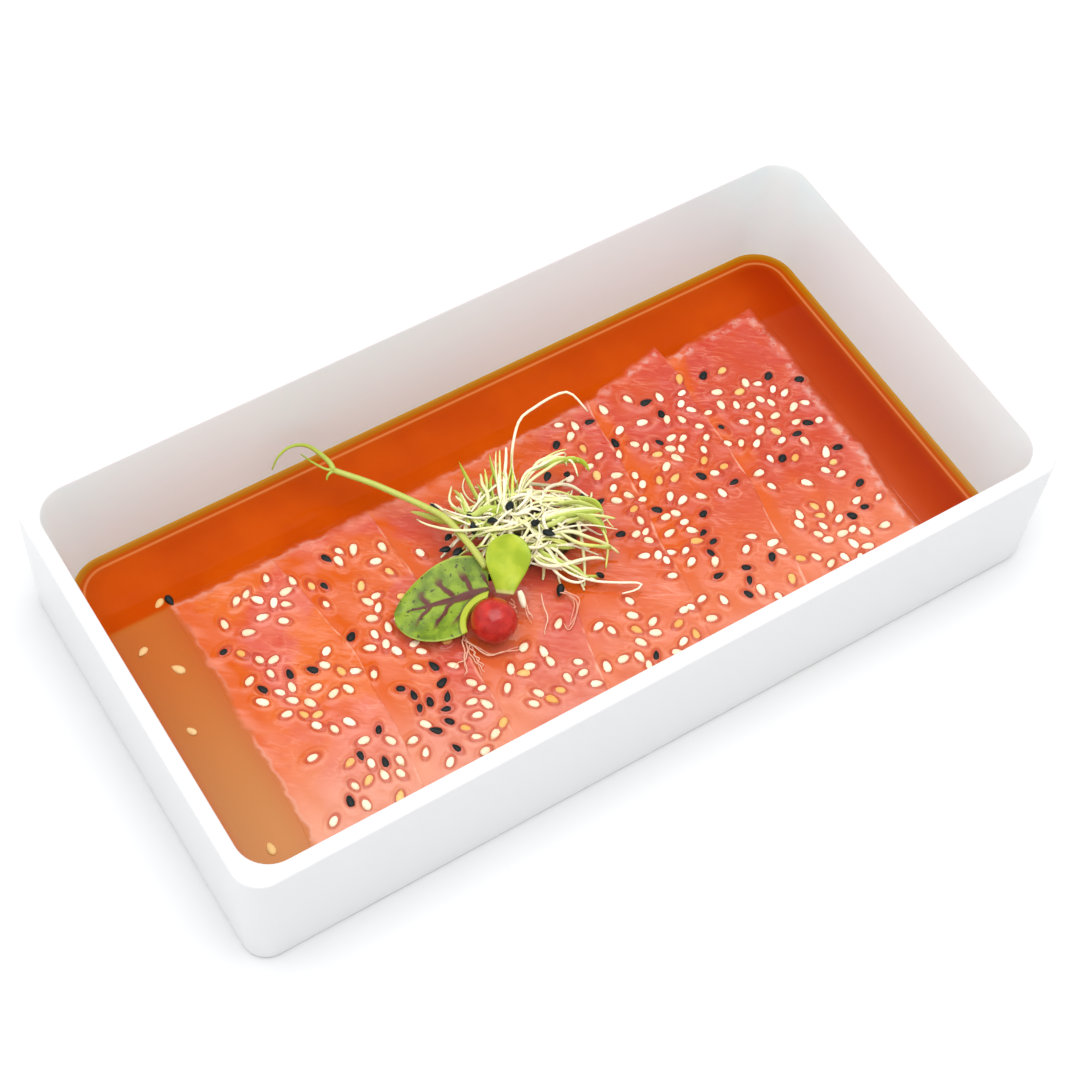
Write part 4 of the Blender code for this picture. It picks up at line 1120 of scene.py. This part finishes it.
def make_seeds(seeds, black):
    """One piece for each kind of sesame; each seed floats a little sunk in the film."""
    draw = random.Random(SEEDED + 4)
    kinds = {"white": [], "golden": [], "black": [], "sunk": []}
    for i, seed in enumerate(seeds):
        kind = "golden" if seed[4] == "white" and seed[3] is not None and i % 6 == 3 else seed[4]
        kinds[kind].append(seed)
    for i, (x, y, kind) in enumerate(CORNER_SEEDS):
        kinds[kind].append((x, y, 0.5 + 1.2 * i, None, None))
    white = seed_finish("white_sesame", (0.84, 0.63, 0.42), (0.93, 0.79, 0.62), (0.56, 0.29, 0.1), 0.42)
    golden = seed_finish("golden_sesame", (0.76, 0.35, 0.08), (0.86, 0.5, 0.18), (0.5, 0.2, 0.04), 0.4)
    sunk = seed_finish("sunk_sesame", (0.68, 0.4, 0.15), (0.78, 0.52, 0.26), (0.6, 0.3, 0.1), 0.4)
    for kind, finish, slot in (("white", white, "sesame_white"), ("golden", golden, "sesame_white"),
                               ("black", black, "sesame_black"), ("sunk", sunk, "sesame_white")):
        places, headings, sizes, pitches = [], [], [], []
        for x, y, turn, k, _ in kinds[kind]:
            film = SAUCE_LEVEL
            if k is not None:
                film = float(film_over(fish_base(k, x, y) + SLICE_THICKNESS) + swell_height(k, x, y))
            places.append((x, y, film + (SEED_SUNK if kind == "sunk" else SEED_FLOAT)))
            headings.append(turn + math.pi * draw.randint(0, 1))
            sizes.append(draw.uniform(*SEED_SIZES))
            pitches.append(draw.uniform(-SEED_PITCH, SEED_PITCH))
        points, faces, values = seed_meshes(places, headings, sizes, pitches, draw)
        add_piece(f"sesame_{kind}", points, faces, finish, values=values)


# Berry and leaves

def make_berry():
    """A ball: latitude by longitude, a little flattened, with a shallow dimple and soft folds."""
    rings, sides = 40, 56
    rise = np.linspace(0.02, np.pi - 0.02, rings)[:, None]
    turn = (2 * np.pi * np.arange(sides) / sides)[None]
    swell = 1 + 0.006 * np.sin(5 * turn + 3 * rise) * np.sin(rise) - 0.02 * np.exp(-(rise / 0.25) ** 2)
    reach = BERRY_RADIUS * swell
    points = np.stack((reach * np.sin(rise) * np.cos(turn), reach * np.sin(rise) * np.sin(turn),
                       0.97 * reach * np.cos(rise)), axis=-1) + BERRY_CENTRE
    add_piece("berry_body", points, turned_over(ring_faces(1, rings, sides)), berry_finish(),
              ["berry"])


def leaf_sheet(rows, columns, base, tip, half_width, cup, level_side, fullness, skew, foot=0.45):
    """Middle surface of a leaf: width swells as a power of a sine from base to tip, the face is
    cupped across and waves towards its edges."""
    base, tip = np.array(base), np.array(tip)
    along = tip - base
    length = np.linalg.norm(along)
    along = along / length
    across = np.array(level_side, dtype=float)
    across -= along * np.dot(across, along)
    across /= np.linalg.norm(across)
    face = np.cross(along, across)
    face = face if face[2] > 0 else -face
    share = np.linspace(0, 1, rows)[:, None]
    side = np.linspace(-1, 1, columns)[None]
    swell = np.maximum(np.sin(np.pi * share ** fullness), 0.0) ** 0.52
    near_base = foot + (half_width - foot) * swell ** (1.5 if foot > 1 else 1.0)
    half = np.maximum(np.where(share < 0.5 ** (1 / fullness), near_base, half_width * swell), 0.45)
    wave = 0.35 * np.sin(9 * share + 2.5 * side) * np.abs(side)
    rise = cup * (side ** 2 - 0.35) * swell + wave
    run = share * length - skew * side * swell
    grid = (base + along * run[..., None] + across * (half * side)[..., None] + face * rise[..., None])
    return grid, face, np.broadcast_to(share, run.shape), np.broadcast_to(side, run.shape)


def add_leaf(name, grid, face, thickness, share, side, finish, replaced, berry_distance):
    """Two copies of the middle surface, half a thickness out each way and joined round the rim."""
    rows, columns, _ = grid.shape
    half = rows * columns
    depth = thickness / 2 * np.sqrt(np.clip(1.02 - side ** 8, 0.02, 1.0))[..., None]
    points = np.concatenate(((grid + face * depth).reshape(-1, 3), (grid - face * depth).reshape(-1, 3)))
    faces = sheet_faces(rows, columns)
    foot = grid[0, columns // 2]
    normal = np.cross(grid[1, columns // 2] - foot, grid[0, columns // 2 + 1] - foot)
    if np.dot(normal, face) > 0:
        faces = turned_over(faces)
    values = {"along": np.tile(share.ravel(), 2), "side": np.tile(side.ravel(), 2),
              "under": np.repeat((0.0, 1.0), half), "berry_distance": np.tile(berry_distance.ravel(), 2)}
    add_piece(name, points, faces, finish, replaced, values)


def from_berry(grid):
    """Distance of each point from the berry's skin."""
    return np.linalg.norm(grid - BERRY_CENTRE, axis=2) - BERRY_RADIUS


def make_leaves():
    """The sorrel blade, pressed in where it would touch the berry, and the lime blade."""
    grid, face, share, side = leaf_sheet(61, 49, *LEAF_SHAPE)
    away = grid - BERRY_CENTRE
    distance = np.linalg.norm(away, axis=2, keepdims=True)
    reach = BERRY_RADIUS + LEAF_THICKNESS + 2 * GAP
    grid = np.where(distance < reach, BERRY_CENTRE + away * reach / distance, grid)
    add_leaf("sorrel_blade", grid, face, LEAF_THICKNESS, share, side, sorrel_finish(),
             ["sorrel_leaf"], from_berry(grid))
    grid, face, share, side = leaf_sheet(41, 33, *LIME_SHAPE)
    add_leaf("lime_blade", grid, face, LIME_THICKNESS, share, side, lime_finish(),
             ["lime_leaf"], from_berry(grid))


def make_shoot():
    """The pea shoot: a stem and three tendrils, each a tube that thins along its way."""
    steps, sides = 41, 12
    paths, radii = [], []
    for given, start, end in ((SHOOT_PATH, SHOOT_RADIUS - 0.1, 0.66), (TENDRIL_PATH, 0.66, 0.18),
                              (SIDE_TENDRIL_PATH, 0.34, 0.15), (STUB_PATH, 0.42, 0.2)):
        paths.append(resample(smooth_path(given, 8), steps))
        radii.append(np.linspace(start, end, steps))
    points, faces = tubes(paths, np.array(radii), sides)
    values = {"tone": per_point((0.3, 0.9, 1.0, 0.9), steps, sides), "along": along_tubes(4, steps, sides)}
    finish = stem_finish("pea_shoot_skin", (0.5, 0.52, 0.12), (0.3, 0.4, 0.03), 0.35)
    add_piece("pea_shoot_stem", points, faces, finish, ["pea_shoot"], values)


# Sprout nest

def dome_height(x, y, scale=1.0):
    """Height of the nest's dome over a place, down to the film outside it."""
    share = np.clip(core_share(x, y) / scale, 0.0, 1.0)
    return CORE_BOTTOM + scale * CORE_HEIGHT * np.sqrt(1 - share ** 2)


def off_centre(along, across):
    """Place in the dish of a point given along and across the nest's oval."""
    x, y = turned(along, across, -CORE_TURN)
    return CORE_CENTRE[0] + x, CORE_CENTRE[1] + y


def make_core():
    """A low uneven dome under the strands, closed by a flat base."""
    rings, sides = 18, 48
    share = np.sin(np.linspace(0.03, np.pi / 2, rings))[:, None]
    turn = (2 * np.pi * np.arange(sides) / sides)[None]
    reach = 0.8 * share * (1 + 0.08 * np.sin(3 * turn + 1) + 0.05 * np.sin(7 * turn))
    x, y = off_centre(reach * CORE_HALF[0] * np.cos(turn), reach * CORE_HALF[1] * np.sin(turn))
    bump = 0.6 * np.sin(5 * turn + 6 * share) * share + 0.4 * np.sin(9 * turn - 8 * share) * share
    z = CORE_BOTTOM - 0.3 + 0.5 * CORE_HEIGHT * np.sqrt(1 - share ** 2) + bump * np.sqrt(1 - share ** 2)
    points = np.stack(np.broadcast_arrays(x, y, z), axis=-1)
    add_piece("nest_core", points, turned_over(ring_faces(1, rings, sides)), core_finish(),
              ["sprouts"])


def obstacles():
    """Points of the other garnish, each with the distance that sprouts keep from it."""
    leaf = leaf_sheet(17, 13, *LEAF_SHAPE)[0]
    lime = leaf_sheet(13, 9, *LIME_SHAPE)[0]
    stem = resample(smooth_path(SHOOT_PATH, 4), 30)
    groups = [(BERRY_CENTRE[None], BERRY_RADIUS), (leaf.reshape(-1, 3), 1.1), (lime.reshape(-1, 3), 1.0),
              (stem, SHOOT_RADIUS + 0.2)]
    points = np.concatenate([group for group, reach in groups])
    reach = np.concatenate([np.full(len(group), reach) for group, reach in groups])
    return points, reach


def clear_of(path, radius, others):
    """True where a strand keeps off the other garnish and above the film."""
    points, reach = others
    gaps = np.linalg.norm(path[:, None] - points[None], axis=2) - reach[None]
    return gaps.min() > radius and path[:, 2].min() > SAUCE_LEVEL + radius + 0.1


def tangle(draw, count, others):
    """Strands that arc over the dome: a plan curve of steady bend, with a height taken from the
    dome at both ends and in the middle, and a little lift and wave."""
    t = np.linspace(-1, 1, 21)
    found = []
    while len(found) < count:
        share = math.sqrt(draw.random()) * 0.95
        turn = draw.uniform(0, 2 * math.pi)
        x0, y0 = off_centre(share * CORE_HALF[0] * math.cos(turn), share * CORE_HALF[1] * math.sin(turn))
        angle = CORE_TURN + draw.gauss(0.25, 0.85) + draw.gauss(0.0, 1.3) * t
        step = draw.uniform(9.0, 22.0) / 2 * (t[1] - t[0])
        x = np.cumsum(np.cos(angle)) * step
        y = np.cumsum(np.sin(angle)) * step
        x = x0 + x - x[len(t) // 2]
        y = y0 + y - y[len(t) // 2]
        ends = [float(dome_height(x[i], y[i], 1.1)) - 1.0 for i in (0, len(t) // 2, -1)]
        z = np.interp(t, (-1, 0, 1), ends)
        z = z + draw.uniform(-0.3, 1.0) * (1 - t ** 2) + 0.35 * np.sin(5 * t + draw.uniform(0, 6))
        z = np.maximum(z, SAUCE_LEVEL + 0.7 + 0.4 * draw.random())
        path = resample(np.stack((x, y, z), axis=1), STRAND_STEPS)
        if clear_of(path, 0.5, others):
            found.append(path)
    return found


def stray(given, reach, draw):
    """A guide moved aside by an even shift, a lean and two waves."""
    path = resample(smooth_path(given, 8), 60)
    t = np.linspace(-0.5, 0.5, 60)[:, None]
    shift, lean, wave, ripple = (np.array((draw.gauss(0, 1), draw.gauss(0, 1), draw.gauss(0, 0.6)))
                                 for _ in range(4))
    path = path + reach * (0.75 * shift + 1.9 * lean * t)
    path = path + 0.7 * reach * wave * np.sin(draw.uniform(4, 8) * t + draw.uniform(0, 6))
    path = path + 0.16 * ripple * np.sin(draw.uniform(12, 22) * t + draw.uniform(0, 6))
    path[:, 2] = np.maximum(path[:, 2], SAUCE_LEVEL + 0.75)
    return path


def follow(guides, draw, others, shortest, longest):
    """Strands along guides, each over a random share of its guide and clear of the garnish."""
    found = []
    for count, reach, given in guides:
        for _ in range(count):
            for _ in range(STRAND_TRIES):
                path = stray(given, reach, draw)
                length = draw.uniform(shortest, longest)
                start = draw.uniform(0, 1 - length)
                path = resample(path[int(start * 59):int((start + length) * 59) + 1], STRAND_STEPS)
                if clear_of(path, 0.35, others):
                    found.append(path)
                    break
    return found


def add_strands(name, paths, radii, tone, finish, sides, flatten, taper):
    """One piece of many strands, each with its own radius, thinned by the same taper."""
    points, faces = tubes(paths, np.asarray(radii)[:, None] * taper[None], sides, flatten)
    values = {
        "tone": per_point(tone, STRAND_STEPS, sides),
        "along": along_tubes(len(paths), STRAND_STEPS, sides),
    }
    add_piece(name, points, faces, finish, values=values)


def make_sprouts(black):
    """Thin stems, broad leaflets, pink roots and dark seed coats, one piece of each."""
    draw = random.Random(SEEDED + 6)
    others = obstacles()
    run = np.linspace(-1, 1, STRAND_STEPS)
    named = [resample(smooth_path(given, 8), STRAND_STEPS) for given in (*NAMED_STRANDS.values(), STUB)]
    thin = follow(GUIDES.values(), draw, others, 0.5, 1.0) + tangle(draw, TANGLE_COUNT, others)
    radii = [*NAMED_RADII, *[draw.uniform(*STEM_RADII) for _ in thin]]
    tone = [*NAMED_TONES, *[draw.random() ** 1.6 for _ in thin]]
    finish = stem_finish("sprout_stems", (0.9, 0.81, 0.63), (0.56, 0.62, 0.08), 0.4)
    add_strands("nest_strands", named + thin, radii, tone, finish, 7, 1.0, 1 - 0.45 * np.abs(run) ** 3)
    guides = [(count, 1.3, GUIDES[name][2]) for name, count in BROAD_GUIDES.items()]
    broad = follow(guides, draw, others, 0.35, 0.6)
    radii = [draw.uniform(*LEAFLET_RADII) for _ in broad]
    tone = [draw.uniform(0.3, 1.0) for _ in broad]
    finish = stem_finish("sprout_leaves", (0.66, 0.68, 0.26), (0.4, 0.52, 0.04), 0.38)
    taper = np.clip(1.01 - np.abs(run) ** 2.6, 0.06, 1) ** 0.8
    add_strands("nest_leaflets", broad, radii, tone, finish, 8, 0.3, taper)
    roots = follow(ROOT_GUIDES.values(), draw, others, 0.8, 1.0)
    radii = [draw.uniform(*ROOT_RADII) for _ in roots]
    finish = stem_finish("sprout_roots", (0.74, 0.3, 0.2), (0.84, 0.58, 0.4), 0.3)
    add_strands("nest_roots", roots, radii, [draw.random() for _ in roots], finish, 6, 1.0,
                1 - 0.6 * np.clip(run, 0, 1))
    headings = [draw.uniform(0, 2 * math.pi) for _ in HULLS]
    sizes = [draw.uniform(0.75, 0.98) for _ in HULLS]
    pitches = [draw.uniform(-0.7, 0.7) for _ in HULLS]
    points, faces, values = seed_meshes(HULLS, headings, sizes, pitches, draw)
    add_piece("nest_hulls", points, faces, black, values=values)


# Stage

def overhead_light():
    """A wide soft light over the dish, brighter towards its front and dimmer towards its right,
    where its own places are in metres."""
    lamp = bpy.data.lights.new("overhead", "AREA")
    lamp.shape = "RECTANGLE"
    lamp.size, lamp.size_y = ((high - low) * MM for low, high in LIGHT_SPAN)
    lamp.energy = LIGHT_RADIANCE * math.pi * lamp.size * lamp.size_y
    lamp.use_nodes = True
    tree = lamp.node_tree
    x, y, _ = axes(add_node(tree, "ShaderNodeNewGeometry", "Position"))
    strength = x.ease(0.15, 0.6, 1.0, 0.35) * y.ease(0.53, 0.25, 1.0, 4.5)
    feed(tree.nodes["Emission"], {"Strength": strength})
    item = add_object("overhead", lamp)
    item.location = [(low + high) / 2 * MM for low, high in (*LIGHT_SPAN, (LIGHT_HEIGHT, LIGHT_HEIGHT))]


def make_stage():
    """A wide pale floor, a soft sky that is dark straight overhead, and the lamp."""
    reach = 3000.0
    points = np.array(((-reach, -reach, 0), (reach, -reach, 0), (reach, reach, 0), (-reach, reach, 0)))
    mesh = bpy.data.meshes.new("floor")
    mesh.from_pydata((points * MM).tolist(), [], [(0, 1, 2, 3)])
    mesh.materials.append(floor_finish())
    floor = add_object("floor", mesh)
    world = bpy.data.worlds.new("studio")
    bpy.context.scene.world = world
    world.use_nodes = True
    tree = world.node_tree
    x, _, z = axes(add_node(tree, "ShaderNodeTexCoord", "Generated"))
    strength = z.ease(0.66, 0.8, WORLD_STRENGTH, DARK_CEILING) * x.ease(0.5, -0.8, 0.92, 1.35)
    feed(tree.nodes["Background"], {"Color": (0.97, 0.985, 1.0), "Strength": strength})
    overhead_light()


def make_camera():
    """A camera given by its heading, rise and roll about the dish, and slid sideways and up."""
    azimuth, rise, roll = (math.radians(angle) for angle in (CAMERA_AZIMUTH, CAMERA_ELEVATION, CAMERA_ROLL))
    back = Vector((math.sin(azimuth) * math.cos(rise), -math.cos(azimuth) * math.cos(rise), math.sin(rise)))
    level = Vector((math.cos(azimuth), math.sin(azimuth), 0.0))
    upward = back.cross(level)
    right = math.cos(roll) * level + math.sin(roll) * upward
    up = -math.sin(roll) * level + math.cos(roll) * upward
    lens = bpy.data.cameras.new("camera")
    lens.sensor_width = SENSOR_WIDTH
    lens.lens = CAMERA_LENS
    lens.clip_start = 0.01
    item = add_object("camera", lens)
    at = (CAMERA_DISTANCE * back - CAMERA_SLIDE[0] * right - CAMERA_SLIDE[1] * up) * MM
    turned = Matrix((right, up, back)).transposed().to_4x4()
    item.matrix_world = Matrix.Translation(at) @ turned
    bpy.context.scene.camera = item
    bpy.context.scene.view_settings.view_transform = "Standard"


def main():
    make_camera()
    make_stage()
    make_dish()
    seeds = scatter_seeds()
    seeds += float_seeds(seeds)
    draw = random.Random(SEEDED + 1)
    sunk = [(x, y, draw.uniform(0, math.pi), None, "sunk") for x, y in SAUCE_SEEDS]
    reach_draw = random.Random(SEEDED + 7)
    make_slices([(x, y, turn, k, MENISCUS_REACH * reach_draw.uniform(0.75, 1.25))
                 for x, y, turn, k, _ in seeds])
    make_sauce()
    black = black_seed_finish()
    make_seeds(seeds + sunk, black)
    make_berry()
    make_leaves()
    make_shoot()
    make_core()
    make_sprouts(black)


main()
